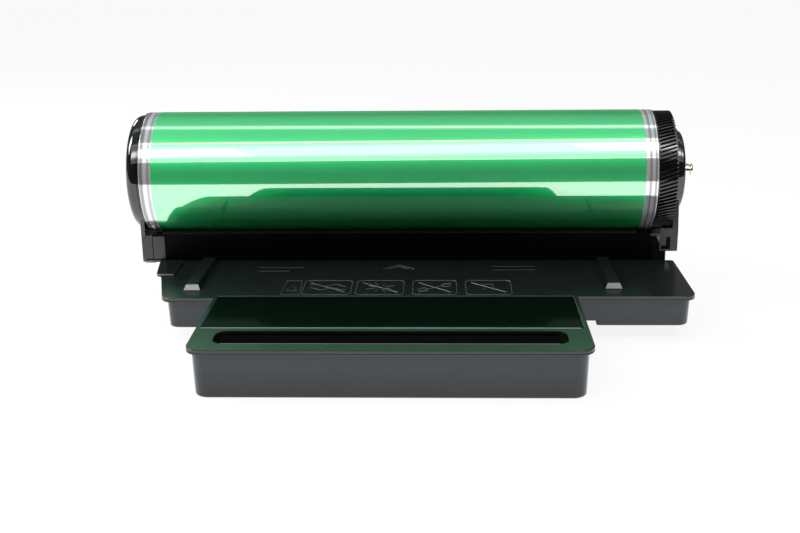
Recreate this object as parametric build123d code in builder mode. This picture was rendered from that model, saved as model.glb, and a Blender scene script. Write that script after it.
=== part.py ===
"""Printer drum unit: a photoconductor drum between two end plates, over a cleaning housing, with a
T-shaped waste toner container whose front part is the handle. Millimetres, +Z up, handle towards -Y.

Every place is given from the middle of the drum's axis: x to the right, y to the rear, z up. The planes
below move it to the part's own frame, whose origin is the middle of the bounding box at its base."""

import os
from math import acos, atan2, cos, degrees, pi, radians, sin, sqrt, tan

from build123d import *

os.makedirs("parts", exist_ok=True)

# Drum
drum_r = 30.0
coating_t = 0.1
tube_wall = 1.0
tube_length = 248.6
bare_end = 6.0
flange_rim = 0.7
flange_plug = 12.0
flange_wall = 2.4
plug_clear = 0.05
hub_r = 8.0
hub_length = 17.0
shaft_r = 3.5
shaft_fit = 0.05
shaft_seat = 0.01
shaft_reach = 146.0
journal_r = 3.0
journal_gap = 0.4
end_groove_in = 1.8
end_groove_width = 0.6
groove_cut = 0.6
shaft_chamfer = 0.5

# Gears
gear_drop = 0.65
idler_teeth = 20
auger_teeth = 18
normal_module = 0.6
helix_angle = 18.0
pressure_angle = 20.0
tooth_thinning = 0.16
root_clear = 0.3
gear_collar = 0.6
drum_gear_face = 8.6
small_gear_face = 4.0
small_gear_gap = 0.6
gear_recess = 3.0

# End plates
plate_gap = 0.4
cap_drop = 1.5
cap_depth = 6.0
cap_round = 4.0
cap_wall = 2.2
boss_r = 19.5
boss_round = 1.5
plate_t = 3.0
boss_proud = 2.2
left_arm_t = 2.2
foot_t = 2.4
cover_t = 1.8
screw_r = 1.25
screw_head_r = 2.9
screw_head_h = 1.8
screw_boss_r = 3.4
screw_bite = 5.5
screw_seat = 0.02
foot_lift = 1.3
foot_wall = 2.2
block_width = 4.7
block_rise = 2.0
cover_reach = 6.8
cover_front_t = 1.6
right_block_in = 128.0
latch_slot = 4.0
latch_slot_height = 6.2
latch_slot_width = 1.8

# Cleaning housing
left_end_in = 2.4
right_end_out = 0.2
left_wall_t = 4.4
front_wall_y = 20.0
rear_wall_y = 26.5
wall_t = 2.0
drum_clear = 0.7
overhang_length = 7.9
overhang_drop = 0.31
foot_gap = 0.1
pad_width = 6.1
pad_proud = 0.4
pocket_length = 33.5
pocket_count = 5
rib_t = 3.0
port_in = 5.5
port_width = 12.0
pin_r = 1.5
pin_bite = 5.0
pin_cover = 0.6
end_clear = 1.2

# Waste auger and blade
auger_angle = 17.3
auger_r = 4.5
auger_gap = 4.25
auger_shaft_r = 2.0
auger_turns = 11
auger_end_gap = 1.5
auger_trough_gap = 0.7
shaft_seal_t = 1.6
shaft_seal_r = 4.0
blade_angle = 11.5
blade_tilt = 25.0
blade_t = 2.0
blade_length = 12.0
blade_overlap = 7.0
blade_gap = 0.3
bracket_t = 1.5
seal_width = 3.2
blade_screw_count = 4
blade_screw_pitch = 60.0
film_t = 0.15
film_angle = 28.5

# Charge roller
roller_angle = 25.0
roller_r = 5.0
roller_core_r = 3.0
roller_gap = 0.3
sleeve_gap = 0.6
bearing_gap = 0.5
bearing_t = 4.4
saddle_foot = 3.0
bearing_half = 4.0
guide_gap = 0.2
slide_travel = 0.8
spring_r = 2.1
spring_wire = 0.5
spring_length = 8.0
spring_turns = 4.5
pad_t = 2.0
holder_t = 1.5
contact_t = 0.4

# Waste container
plate_drop = 10.7
lid_t = 2.1
lip = 2.0
shell_t = 2.0
wing_depth = 14.8
step_rise = 2.2
handle_depth = 21.5
handle_front = 143.0
handle_left = 81.4
handle_right = 82.3
handle_back = 62.0
wing_front_left = 79.0
wing_front_right = 76.5
wing_front_in = 19.7
wing_mid_in = 15.7
wing_step_in = 9.3
wing_rear_in = 6.0
wing_step_y = 46.0
wing_right_out = 10.9
lid_rear = 20.3
corner_handle = 7.0
corner_wing = 6.0
corner_step = 1.5
draft = 1.5
bottom_round = 1.6
port_gap = 1.5
slot_length = 144.0
slot_width = 14.5
slot_front_gap = 7.9
slot_depth = 15.0
label_gap = 3.3
label_length = 41.4
label_side = 2.0
label_depth = 0.4
ridge_base = 8.0
ridge_top = 5.5
ridge_height = 2.8
ridge_rear = 24.0
ridge_fronts = ((-93.1, 68.4), (99.7, 66.5))
latches = ((-56.2, -35.4), (55.9, -33.9))
latch_length = 22.0
latch_width = 5.6
latch_depth = 0.9
tab_length = 19.0
tab_width = 2.4
notch_in = 4.7
notch_length = 5.8
notch_width = 1.2
notch_y = -38.0
corner_pad_length = 10.3
corner_pad_t = 0.8
deep_wing_gap = 8.5
runner_x = 88.0
runner_t = 6.0

tube_half = tube_length / 2
housing_left = tube_half - left_end_in
housing_right = tube_half + right_end_out
cavity_half = housing_left - left_wall_t
overhang_x = housing_left - overhang_length
foot_in = housing_left + foot_gap
cap_r = drum_r - cap_drop
block_z = drum_r - block_rise
bearing_x = cavity_half - bearing_gap - bearing_t
sleeve_half = bearing_x - sleeve_gap
wing_left_front = tube_half - wing_front_in
wing_left_mid = tube_half - wing_mid_in
wing_left_step = tube_half - wing_step_in
wing_left_rear = tube_half - wing_rear_in
wing_right = tube_half + wing_right_out
slot_y = handle_front - slot_front_gap - slot_width / 2
label_front = slot_y - slot_width / 2 - label_gap
label_rear = label_front - label_length
tube_r = drum_r - coating_t
bore_r = tube_r - tube_wall
lid_top = -(drum_r + plate_drop)
lid_bottom = lid_top - lid_t
wing_bottom = lid_top - wing_depth
ground = lid_top - handle_depth
tray_top = wing_bottom + shell_t
gear_start = tube_half + gear_collar
gear_end = gear_start + drum_gear_face
plate_in = gear_end + plate_gap
cap_in = tube_half + flange_rim + plate_gap
cap_out = cap_in + cap_depth

# The drum's axis in the part's own frame
x_shift = (cap_out - shaft_reach) / 2
y_shift = (handle_front - drum_r) / 2
z_shift = -ground


def level(z):
    """Level plane at height z; local x and y are the part's x and y."""
    return Plane(origin=(x_shift, y_shift, z_shift + z))


def across(x):
    """Plane square to the drum's axis at x; local x and y are the part's y and z."""
    return Plane(origin=(x_shift + x, y_shift, z_shift), x_dir=(0, 1, 0), z_dir=(1, 0, 0))


def upright(y, z=0.0):
    """Upright plane facing the handle, its centre at depth y and height z."""
    return Plane(origin=(x_shift, y_shift + y, z_shift + z), x_dir=(1, 0, 0), z_dir=(0, -1, 0))


def below(angle, distance):
    """Point at a distance from the drum's axis, at an angle from straight down towards the handle."""
    return (-distance * sin(radians(angle)), -distance * cos(radians(angle)))


def save(part, name):
    """Label a finished piece and write it to its own file."""
    part.label = name
    export_step(part, f"parts/{name}.step")


# Places of the small shafts under the drum
auger_at = below(auger_angle, drum_r + auger_r + auger_gap)
auger_distance = drum_r + auger_r + auger_gap
roller_at = below(-roller_angle, drum_r + roller_gap + roller_r)
transverse_module = normal_module / cos(radians(helix_angle))
drum_teeth = int(2 * (drum_r - gear_drop) / transverse_module) - 2
drum_pitch_r = drum_teeth * transverse_module / 2
idler_pitch_r = idler_teeth * transverse_module / 2
auger_pitch_r = auger_teeth * transverse_module / 2
idler_distance = drum_pitch_r + idler_pitch_r
idler_to_auger = idler_pitch_r + auger_pitch_r
idler_swing = degrees(
    acos(
        (auger_distance**2 + idler_distance**2 - idler_to_auger**2) / (2 * auger_distance * idler_distance)
    )
)
idler_at = below(auger_angle - idler_swing, idler_distance)


def direction(start, end):
    """Angle in radians of the line between two (y, z) points."""
    return atan2(end[1] - start[1], end[0] - start[0])


def meshed_phase(angle, phase, teeth, next_teeth):
    """Angle of a tooth of the next gear that meshes, seen along the line between the centres."""
    return angle + pi + pi / next_teeth - (phase - angle) * teeth / next_teeth


def tooth_outline(teeth, phase):
    """Closed gear outline in the local plane, each flank one straight run between involute points."""
    pitch_r = teeth * transverse_module / 2
    base_r = pitch_r * cos(radians(pressure_angle))
    tip_r = pitch_r + normal_module
    root_r = pitch_r - normal_module - root_clear * normal_module
    radii = [max(base_r, root_r + 0.15), tip_r]

    def involute(r):
        return tan(acos(min(1.0, base_r / r))) - acos(min(1.0, base_r / r))

    half_pitch = pi / (2 * teeth) - tooth_thinning / (2 * pitch_r)
    flank = [(r, half_pitch + involute(pitch_r) - involute(r)) for r in radii]
    root = (root_r, flank[0][1] + 0.1 * pi / teeth)
    side = [root] + flank
    one_tooth = [(r, -a) for r, a in side] + [(r, a) for r, a in reversed(side)]
    return [
        (r * cos(phase + i * 2 * pi / teeth + a), r * sin(phase + i * 2 * pi / teeth + a))
        for i in range(teeth)
        for r, a in one_tooth
    ]


def twisted(outline, start, length, angle, centre):
    """Solid of an outline pushed along x from start while it turns by an angle in degrees."""
    with BuildSketch(across(start)) as end:
        with BuildLine():
            Polyline(*[(centre[0] + y, centre[1] + z) for y, z in outline], close=True)
        make_face()
    middle = (x_shift + start, y_shift + centre[0], z_shift + centre[1])
    add(Solid.extrude_linear_with_rotation(end.sketch.face(), middle, (length, 0, 0), angle))


def toothed_ring(start, face, centre, teeth, phase, hand):
    """Helical teeth of one gear; hand is 1 or -1."""
    turn = hand * face * tan(radians(helix_angle)) / (teeth * transverse_module / 2)
    twisted(tooth_outline(teeth, phase), start, face, degrees(turn), centre)


def ring(start, end, outer, inner=0.0, centre=(0.0, 0.0), mode=Mode.ADD):
    """Round length along x from start to end, bored when it has an inner radius."""
    with BuildSketch(across(start)) as section:
        with Locations(centre):
            Circle(outer)
            if inner > 0:
                Circle(inner, mode=Mode.SUBTRACT)
    extrude(section.sketch, amount=end - start, mode=mode)


def box(x, y, z, mode=Mode.ADD):
    """Block between two x, two y and two z values."""
    with BuildSketch(level(z[0])) as base:
        with Locations(((x[0] + x[1]) / 2, (y[0] + y[1]) / 2)):
            Rectangle(x[1] - x[0], y[1] - y[0])
    extrude(base.sketch, amount=z[1] - z[0], mode=mode)


def drum_flange_body(side):
    """Rim, plug, web and hub of a drum flange; side is -1 at the left and 1 at the right."""
    face = side * tube_half
    spans = (
        (face + side * flange_rim, face, drum_r - 0.3, 0.0),
        (face, face - side * flange_plug, bore_r - plug_clear, bore_r - plug_clear - flange_wall),
        (face, face - side * flange_wall, bore_r - plug_clear, 0.0),
        (face + side * flange_rim, face - side * hub_length, hub_r, 0.0),
    )
    for start, end, outer, inner in spans:
        ring(min(start, end), max(start, end), outer, inner)


# Drum tube and its green layer
with BuildPart() as drum_tube:
    ring(-tube_half, tube_half, tube_r, bore_r)
save(drum_tube.part, "drum_tube")

coating_half = tube_half - bare_end
with BuildPart() as photoconductor_coating:
    ring(-coating_half, coating_half, drum_r, tube_r)
save(photoconductor_coating.part, "photoconductor_coating")

# Left drum flange, pressed into the tube
with BuildPart() as left_flange:
    drum_flange_body(-1)
    ring(-tube_half - flange_rim, -tube_half + hub_length, shaft_r + shaft_fit, mode=Mode.SUBTRACT)
save(left_flange.part, "left_flange")

# Drum gear: right flange with its helical teeth, hollowed on the outside
drum_phase = 0.0
rim_inner = drum_pitch_r - 3 * normal_module - flange_wall
web_end = gear_end - gear_recess
with BuildPart() as gear_hub:
    drum_flange_body(1)
    ring(tube_half, gear_start, drum_r - 1.6)
    ring(gear_start, web_end, rim_inner)
    ring(web_end, web_end + 1.0, hub_r)
    ring(tube_half - hub_length, gear_end, shaft_r + shaft_fit, mode=Mode.SUBTRACT)

with BuildPart() as drum_gear:
    toothed_ring(gear_start, drum_gear_face, (0, 0), drum_teeth, drum_phase, -1)
    ring(gear_start, gear_end, rim_inner, mode=Mode.SUBTRACT)
    add(gear_hub.part)
save(drum_gear.part, "drum_gear")

# Grounding plate: sheet star between the tube and the shaft
grounding_t = 0.3
with BuildPart() as grounding_plate:
    with BuildSketch(across(-tube_half + hub_length)):
        Circle(hub_r + 2)
        with PolarLocations(bore_r / 2, 3):
            Rectangle(bore_r, 5)
        Circle(bore_r - plug_clear, mode=Mode.INTERSECT)
        Circle(shaft_r + 0.02, mode=Mode.SUBTRACT)
    extrude(amount=grounding_t)
save(grounding_plate.part, "grounding_plate")

# Shaft, with a groove for its clip
clip_t = 0.6
clip_x = gear_end - gear_recess + 1.6
groove_r = shaft_r - groove_cut
shaft_start = -(cap_out - 2.0)
journal_start = plate_in + plate_t + boss_proud + journal_gap
end_groove_x = shaft_reach - end_groove_in
with BuildPart() as drum_shaft:
    ring(shaft_start, journal_start, shaft_r)
    ring(journal_start, shaft_reach, journal_r)
    ends = drum_shaft.edges().filter_by(GeomType.CIRCLE).sort_by(Axis.X)
    chamfer([ends[0], ends[-1]], shaft_chamfer)
    ring(
        end_groove_x, end_groove_x + end_groove_width, shaft_r, journal_r - groove_cut, mode=Mode.SUBTRACT
    )
    ring(clip_x, clip_x + clip_t + 0.1, shaft_r + 0.5, groove_r, mode=Mode.SUBTRACT)
save(drum_shaft.part, "drum_shaft")

with BuildPart() as shaft_clip:
    with BuildSketch(across(clip_x + 0.05)):
        Circle(shaft_r + 2.4)
        Circle(shaft_r + 0.6, mode=Mode.SUBTRACT)
        with PolarLocations(shaft_r + 0.3, 3, start_angle=90):
            Rectangle(2 * (shaft_r + 0.3 - groove_r - 0.02), 1.6)
        with Locations((0, -shaft_r)):
            Rectangle(2 * groove_r, 2 * shaft_r, mode=Mode.SUBTRACT)
    extrude(amount=clip_t)
save(shaft_clip.part, "shaft_clip")


def sloped_bottom(y):
    """Height of the sloped underside of the left end at depth y, so the ends rise clear of the tub."""
    return lid_bottom + foot_lift - overhang_drop * (y + front_wall_y)


# Screws that hold the end plates, as (y, z) places
left_screws = [(-16.6, -(drum_r + 2.4)), (rear_wall_y - 6.5, -(drum_r + 13.0))]
right_screws = [(-14.0, -(drum_r + 19.4)), (rear_wall_y - 7.5, -(drum_r + 16.0))]
pilot_r = screw_r + screw_seat

# Left end plate: hollow domed cap, arm, foot block at the front and two screw bosses
with BuildPart() as left_end_plate:
    ring(-cap_out, -cap_in, cap_r)
    fillet(left_end_plate.edges().filter_by(GeomType.CIRCLE).sort_by(Axis.X)[0], cap_round)
    with BuildSketch(across(-cap_in)):
        with BuildLine():
            Polyline(
                (-front_wall_y, -block_z + 9.0),
                (-front_wall_y, sloped_bottom(-front_wall_y)),
                (rear_wall_y - 3.0, sloped_bottom(rear_wall_y - 3.0)),
                (rear_wall_y - 3.0, -block_z),
                (cap_r * 0.78, -cap_r * 0.6),
                (cap_r * 0.3, 0),
                (-cap_r * 0.3, 0),
                (-cap_r * 0.68, -cap_r * 0.68),
                close=True,
            )
        make_face()
    extrude(amount=-left_arm_t)
    ring(-cap_out + cap_wall, -cap_in, cap_r - cap_wall, hub_r, mode=Mode.SUBTRACT)
    ring(-(cap_out - 2.0), -cap_in, shaft_r + shaft_seat, mode=Mode.SUBTRACT)
    box(
        (-foot_in - block_width, -foot_in),
        (-front_wall_y, -front_wall_y + foot_wall),
        (sloped_bottom(-front_wall_y) + cover_front_t, -block_z),
    )
    for place in left_screws:
        ring(-cap_in, -housing_left, screw_boss_r, centre=place)
        ring(-cap_out, -housing_left, pilot_r, centre=place, mode=Mode.SUBTRACT)
save(left_end_plate.part, "left_end_plate")

# Right end plate: boss and arm outside the gear, stepped in below it as the cover of the small gears
step_z = lid_top + 4.4
cover_out = housing_right + cover_reach
plate_out = plate_in + plate_t
with BuildPart() as right_end_plate:
    with BuildSketch(across(plate_in)):
        Circle(boss_r + 1.5)
        with BuildLine():
            Polyline(
                (-front_wall_y, -block_z + 2.0),
                (-front_wall_y, step_z),
                (rear_wall_y - 3.0, step_z),
                (rear_wall_y - 3.0, -block_z + 2.0),
                (boss_r * 0.9, -boss_r * 0.5),
                (-boss_r * 0.9, -boss_r * 0.5),
                close=True,
            )
        make_face()
    extrude(amount=plate_t)
    ring(plate_out - 0.1, plate_out + boss_proud, boss_r)
    fillet(right_end_plate.edges().filter_by(GeomType.CIRCLE).sort_by(Axis.X)[-1], boss_round)
    box((cover_out - cover_t, plate_out), (-front_wall_y, rear_wall_y - 3.0), (step_z, step_z + foot_t))
    box((cover_out - cover_t, cover_out), (-front_wall_y, rear_wall_y - 3.0), (tray_top, step_z + foot_t))
    front_face = (-front_wall_y, -front_wall_y + cover_front_t)
    box((housing_right, cover_out), front_face, (tray_top, step_z + foot_t))
    box((right_block_in, plate_out - 1.7), front_face, (step_z, -block_z + block_rise))
    # L-shaped recess in the block
    cut_y = (-front_wall_y - 1.0, -front_wall_y + 1.0)
    cut_x = (right_block_in + 1.2, right_block_in + 1.2 + latch_slot)
    cut_z = (step_z + 1.1, step_z + 1.1 + latch_slot_height)
    box(cut_x, cut_y, (cut_z[0], cut_z[0] + latch_slot_width), mode=Mode.SUBTRACT)
    box((cut_x[1] - latch_slot_width, cut_x[1]), cut_y, cut_z, mode=Mode.SUBTRACT)
    ring(plate_in - 1.0, plate_in, hub_r)
    for place in right_screws:
        ring(housing_right, cover_out - cover_t, screw_boss_r, centre=place)
        ring(housing_right, cover_out, pilot_r, centre=place, mode=Mode.SUBTRACT)
    ring(plate_in - 1.0, plate_out + boss_proud, shaft_r + shaft_seat, mode=Mode.SUBTRACT)
    ring(cover_out - cover_t, cover_out - pin_cover, pin_r + screw_seat, centre=idler_at, mode=Mode.SUBTRACT)
save(right_end_plate.part, "right_end_plate")


def side_screw(face, side, length, place):
    """Pan-head screw along x, its head on the face, pointing inwards."""
    tip = face - side * length
    ring(min(face, tip), max(face, tip), screw_r, centre=place)
    head = face + side * screw_head_h
    ring(min(face, head), max(face, head), screw_head_r, centre=place)
    cut = head - side * 0.9
    with BuildSketch(across(min(head, cut))) as recess:
        with Locations(place):
            Rectangle(2.8, 0.8)
            Rectangle(0.8, 2.8)
    extrude(recess.sketch, amount=0.9, mode=Mode.SUBTRACT)


left_plate_out = cap_in + left_arm_t
with BuildPart() as left_plate_screws:
    for place in left_screws:
        side_screw(-left_plate_out, -1, left_plate_out - housing_left + screw_bite - 1.5, place)
save(left_plate_screws.part, "left_plate_screws")

with BuildPart() as right_plate_screws:
    for place in right_screws:
        side_screw(cover_out, 1, cover_out - housing_right + screw_bite, place)
save(right_plate_screws.part, "right_plate_screws")

# Blade line: it meets the drum against its turn, tip towards the handle
tip = below(blade_angle, drum_r + blade_gap)
blade_dir = -(blade_angle + blade_tilt)
along = (cos(radians(blade_dir)), sin(radians(blade_dir)))
away = (along[1], -along[0])


def on_blade(run, depth):
    """Point at a run along the blade from its tip, and a depth below its upper side."""
    return (tip[0] + run * along[0] + depth * away[0], tip[1] + run * along[1] + depth * away[1])


blade_half = cavity_half - seal_width - 0.3
with BuildPart() as cleaning_blade:
    with BuildSketch(across(-blade_half)):
        with BuildLine():
            Polyline(
                on_blade(0, 0),
                on_blade(blade_length, 0),
                on_blade(blade_length, blade_t),
                on_blade(0, blade_t),
                close=True,
            )
        make_face()
    extrude(amount=2 * blade_half)
save(cleaning_blade.part, "cleaning_blade")

# Bracket: folded sheet, one leg under the blade and one on the ledge
heel = on_blade(blade_length, blade_t + bracket_t)
ledge_z = heel[1]
ledge_end = roller_at[0] - bearing_half - guide_gap
leg_end = ledge_end - 0.2
screw_y = leg_end - screw_head_r - 0.6
bracket_half = blade_half - 1.0
blade_screw_x = [(i - (blade_screw_count - 1) / 2) * blade_screw_pitch for i in range(blade_screw_count)]
with BuildPart() as blade_bracket:
    with BuildSketch(across(-bracket_half)):
        with BuildLine():
            Polyline(
                on_blade(blade_length - blade_overlap, blade_t),
                on_blade(blade_length, blade_t),
                (on_blade(blade_length, blade_t)[0] + bracket_t * 0.5, ledge_z + bracket_t),
                (leg_end, ledge_z + bracket_t),
                (leg_end, ledge_z),
                heel,
                on_blade(blade_length - blade_overlap, blade_t + bracket_t),
                close=True,
            )
        make_face()
    extrude(amount=2 * bracket_half)
    with BuildSketch(level(ledge_z)):
        with Locations(*[(x, screw_y) for x in blade_screw_x]):
            Circle(screw_r + 0.3)
    extrude(amount=bracket_t, mode=Mode.SUBTRACT)
save(blade_bracket.part, "blade_bracket")

with BuildPart() as blade_screws:
    with BuildSketch(level(ledge_z + bracket_t)):
        with Locations(*[(x, screw_y) for x in blade_screw_x]):
            Circle(screw_head_r - 0.3)
    extrude(amount=screw_head_h - 0.4)
    with BuildSketch(level(ledge_z - screw_bite)):
        with Locations(*[(x, screw_y) for x in blade_screw_x]):
            Circle(screw_r)
    extrude(amount=screw_bite + bracket_t)
save(blade_screws.part, "blade_screws")

# Cleaning housing: trough for the auger, ledge for the blade and bay for the charge roller
trough_r = auger_r + auger_trough_gap
bay_floor = roller_at[1] - roller_r - pad_t - holder_t - slide_travel - 2.7
front_top = -sqrt((drum_r + 2.4) ** 2 - (front_wall_y - wall_t) ** 2)
rear_top = -drum_r
inner_front = -front_wall_y + wall_t
inner_rear = rear_wall_y - wall_t
spring_seat = roller_at[1] - bearing_half - saddle_foot - spring_length
port_x = (-cavity_half + port_in, -cavity_half + port_in + port_width)
spring_x = bearing_x + bearing_t / 2

with BuildPart() as cleaning_housing:
    with BuildSketch(across(-housing_left)):
        with BuildLine():
            Polyline(
                (-front_wall_y, front_top),
                (-front_wall_y, tray_top),
                (rear_wall_y, tray_top),
                (rear_wall_y, rear_top),
                (inner_rear, rear_top),
                (inner_front, front_top),
                close=True,
            )
        make_face()
    extrude(amount=housing_left + housing_right)
    # Room for the drum
    ring(-housing_left, housing_right, drum_r + drum_clear, mode=Mode.SUBTRACT)
    # Auger trough, open upwards
    with BuildSketch(across(-cavity_half)):
        with Locations(auger_at):
            Circle(trough_r)
        with BuildLine():
            Polyline(
                (auger_at[0] - trough_r, auger_at[1]),
                (inner_front, auger_at[1] + 2.0),
                (inner_front, front_top + 1.0),
                (ledge_end, front_top + 1.0),
                (ledge_end, ledge_z),
                (heel[0] - 1.2, ledge_z),
                (auger_at[0] + trough_r, auger_at[1]),
                close=True,
            )
        make_face()
        with BuildLine():
            Polyline(
                (ledge_end, bay_floor),
                (inner_rear, bay_floor),
                (inner_rear, rear_top + 1.0),
                (ledge_end, rear_top + 1.0),
                close=True,
            )
        make_face()
    extrude(amount=2 * cavity_half, mode=Mode.SUBTRACT)
    # Hollow underside, with ribs left between the pockets
    pocket_tops = (
        (-front_wall_y + wall_t, auger_at[0] + trough_r + 1.0, auger_at[1] - trough_r - wall_t),
        (auger_at[0] + trough_r + 1.0 + wall_t, ledge_end - wall_t, ledge_z - screw_bite - 1.0),
        (ledge_end, inner_rear, spring_seat - wall_t),
    )
    last_pocket = cavity_half - 2 * bearing_t
    pocket_ends = [last_pocket - i * (pocket_length + rib_t) for i in range(pocket_count)]
    for y0, y1, top in pocket_tops:
        for x1 in pocket_ends:
            box((x1 - pocket_length, x1), (y0, y1), (tray_top, top), mode=Mode.SUBTRACT)
    # Guides and pockets of the two sprung bearings
    for side in (-1, 1):
        near = side * (bearing_x - 0.4)
        far = side * cavity_half
        guide_y = roller_at[0] + bearing_half + guide_gap
        box((min(near, far), max(near, far)), (guide_y, inner_rear), (bay_floor, roller_at[1] - 1.0))
        with BuildSketch(level(spring_seat)):
            with Locations((side * spring_x, roller_at[0])):
                Circle(spring_r + 0.6)
        extrude(amount=bay_floor - spring_seat, mode=Mode.SUBTRACT)
    # Sloped underside of the left end
    with BuildSketch(across(-housing_left)):
        with BuildLine():
            Polyline(
                (-front_wall_y, sloped_bottom(-front_wall_y)),
                (-front_wall_y + (sloped_bottom(-front_wall_y) - tray_top) / overhang_drop, tray_top),
                (-front_wall_y, tray_top),
                close=True,
            )
        make_face()
    extrude(amount=housing_left - overhang_x, mode=Mode.SUBTRACT)
    # Pad beside the left foot block
    box(
        (-housing_left, -housing_left + pad_width),
        (-front_wall_y - pad_proud, -front_wall_y),
        (sloped_bottom(-front_wall_y) + cover_front_t, -block_z),
    )
    # Port from the trough down to the tub
    box(port_x, (-front_wall_y, auger_at[0] + 2.0), (wing_bottom + 5.5, lid_bottom - 1.0), mode=Mode.SUBTRACT)
    box(port_x, (auger_at[0] - 3.0, auger_at[0] + 2.0), (wing_bottom + 5.5, auger_at[1]), mode=Mode.SUBTRACT)
    # Bores of the auger, the idler pin and the screws
    ring(-housing_left + end_clear, -cavity_half, auger_shaft_r + shaft_fit, centre=auger_at, mode=Mode.SUBTRACT)
    ring(cavity_half, housing_right, auger_shaft_r + shaft_fit, centre=auger_at, mode=Mode.SUBTRACT)
    ring(cavity_half, cavity_half + shaft_seal_t, shaft_seal_r, centre=auger_at, mode=Mode.SUBTRACT)
    ring(housing_right - pin_bite, housing_right, pin_r + screw_seat, centre=idler_at, mode=Mode.SUBTRACT)
    for place in left_screws:
        ring(-housing_left, -housing_left + screw_bite - 1.5, pilot_r, centre=place, mode=Mode.SUBTRACT)
    for place in right_screws:
        ring(housing_right - screw_bite, housing_right, pilot_r, centre=place, mode=Mode.SUBTRACT)
    with BuildSketch(level(ledge_z - screw_bite)):
        with Locations(*[(x, screw_y) for x in blade_screw_x]):
            Circle(pilot_r)
    extrude(amount=screw_bite, mode=Mode.SUBTRACT)
    # Slot of the charge contact
    box(
        (-housing_left, -spring_x + 2.0),
        (roller_at[0] - 2.1, roller_at[0] + 2.1),
        (spring_seat - contact_t - 0.05, spring_seat),
        mode=Mode.SUBTRACT,
    )
save(cleaning_housing.part, "cleaning_housing")

# Catch film on the front wall, its free edge trailing along the drum
film_tip = below(film_angle, drum_r + 0.35)
film_half = cavity_half - 0.4
with BuildPart() as toner_catch_film:
    with BuildSketch(across(-film_half)):
        with BuildLine():
            Polyline(
                (-front_wall_y + 0.2, front_top),
                (inner_front, front_top),
                film_tip,
                (film_tip[0], film_tip[1] + film_t),
                (inner_front, front_top + film_t),
                (-front_wall_y + 0.2, front_top + film_t),
                close=True,
            )
        make_face()
    extrude(amount=2 * film_half)
save(toner_catch_film.part, "toner_catch_film")

# Foam seals at the ends of the blade, curved to the drum
for name, start in (("left_blade_seal", -cavity_half), ("right_blade_seal", cavity_half - seal_width)):
    with BuildPart() as blade_seal:
        with BuildSketch(across(start)):
            Circle(drum_r + 2.0)
            Circle(drum_r + 0.3, mode=Mode.SUBTRACT)
            with BuildLine():
                Polyline(
                    (0, 0),
                    below(3.0, 2 * drum_r),
                    below(film_angle - 3.0, 2 * drum_r),
                    close=True,
                )
            make_face(mode=Mode.INTERSECT)
        extrude(amount=seal_width)
    save(blade_seal.part, name)

# Waste auger: one screw flight round its shaft
small_start = housing_right + small_gear_gap
flight = [(auger_shaft_r * 0.6, -1.2), (auger_r, -0.8), (auger_r, 0.8), (auger_shaft_r * 0.6, 1.2)]
flight_length = 2 * (cavity_half - auger_end_gap)
with BuildPart() as waste_auger:
    ring(-housing_left + end_clear + 0.3, small_start + small_gear_face + 0.1, auger_shaft_r, centre=auger_at)
    twisted(flight, -cavity_half + auger_end_gap, flight_length, auger_turns * 360, auger_at)
save(waste_auger.part, "waste_auger")

# Small gears beside the right end wall
idler_phase = meshed_phase(direction((0, 0), idler_at), drum_phase, drum_teeth, idler_teeth)
auger_phase = meshed_phase(direction(idler_at, auger_at), idler_phase, idler_teeth, auger_teeth)
# The teeth are cut with the turn that the drum gear's helix has at this place
start_turn = -(small_start - gear_start) * tan(radians(helix_angle))
idler_phase -= start_turn / idler_pitch_r
auger_phase += start_turn / auger_pitch_r

with BuildPart() as idler_gear:
    toothed_ring(small_start, small_gear_face, idler_at, idler_teeth, idler_phase, 1)
    ring(small_start, small_start + small_gear_face, pin_r + shaft_fit, centre=idler_at, mode=Mode.SUBTRACT)
save(idler_gear.part, "idler_gear")

with BuildPart() as auger_gear:
    toothed_ring(small_start, small_gear_face, auger_at, auger_teeth, auger_phase, -1)
    ring(
        small_start, small_start + small_gear_face, auger_shaft_r + 0.02, centre=auger_at, mode=Mode.SUBTRACT
    )
save(auger_gear.part, "auger_gear")

with BuildPart() as idler_pin:
    ring(housing_right - pin_bite, cover_out - pin_cover, pin_r, centre=idler_at)
save(idler_pin.part, "idler_pin")

with BuildPart() as auger_shaft_seal:
    ring(cavity_half, cavity_half + shaft_seal_t, shaft_seal_r - 0.05, auger_shaft_r + 0.08, centre=auger_at)
save(auger_shaft_seal.part, "auger_shaft_seal")

# Charge roller: steel core with a rubber sleeve
core_half = bearing_x + bearing_t + 0.1
with BuildPart() as charge_roller_core:
    ring(-core_half, core_half, roller_core_r, centre=roller_at)
    chamfer(charge_roller_core.edges().filter_by(GeomType.CIRCLE), 0.4)
save(charge_roller_core.part, "charge_roller_core")

with BuildPart() as charge_roller_sleeve:
    ring(-sleeve_half, sleeve_half, roller_r, roller_core_r, centre=roller_at)
save(charge_roller_sleeve.part, "charge_roller_sleeve")

# Sprung saddles that carry the roller
saddle_bottom = roller_at[1] - bearing_half - saddle_foot
for name, start in (("left_roller_bearing", -bearing_x - bearing_t), ("right_roller_bearing", bearing_x)):
    with BuildPart() as roller_bearing:
        box(
            (start, start + bearing_t),
            (roller_at[0] - bearing_half, roller_at[0] + bearing_half),
            (saddle_bottom, roller_at[1] + 2.0),
        )
        ring(start, start + bearing_t, roller_core_r + shaft_fit, centre=roller_at, mode=Mode.SUBTRACT)
    save(roller_bearing.part, name)

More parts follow.
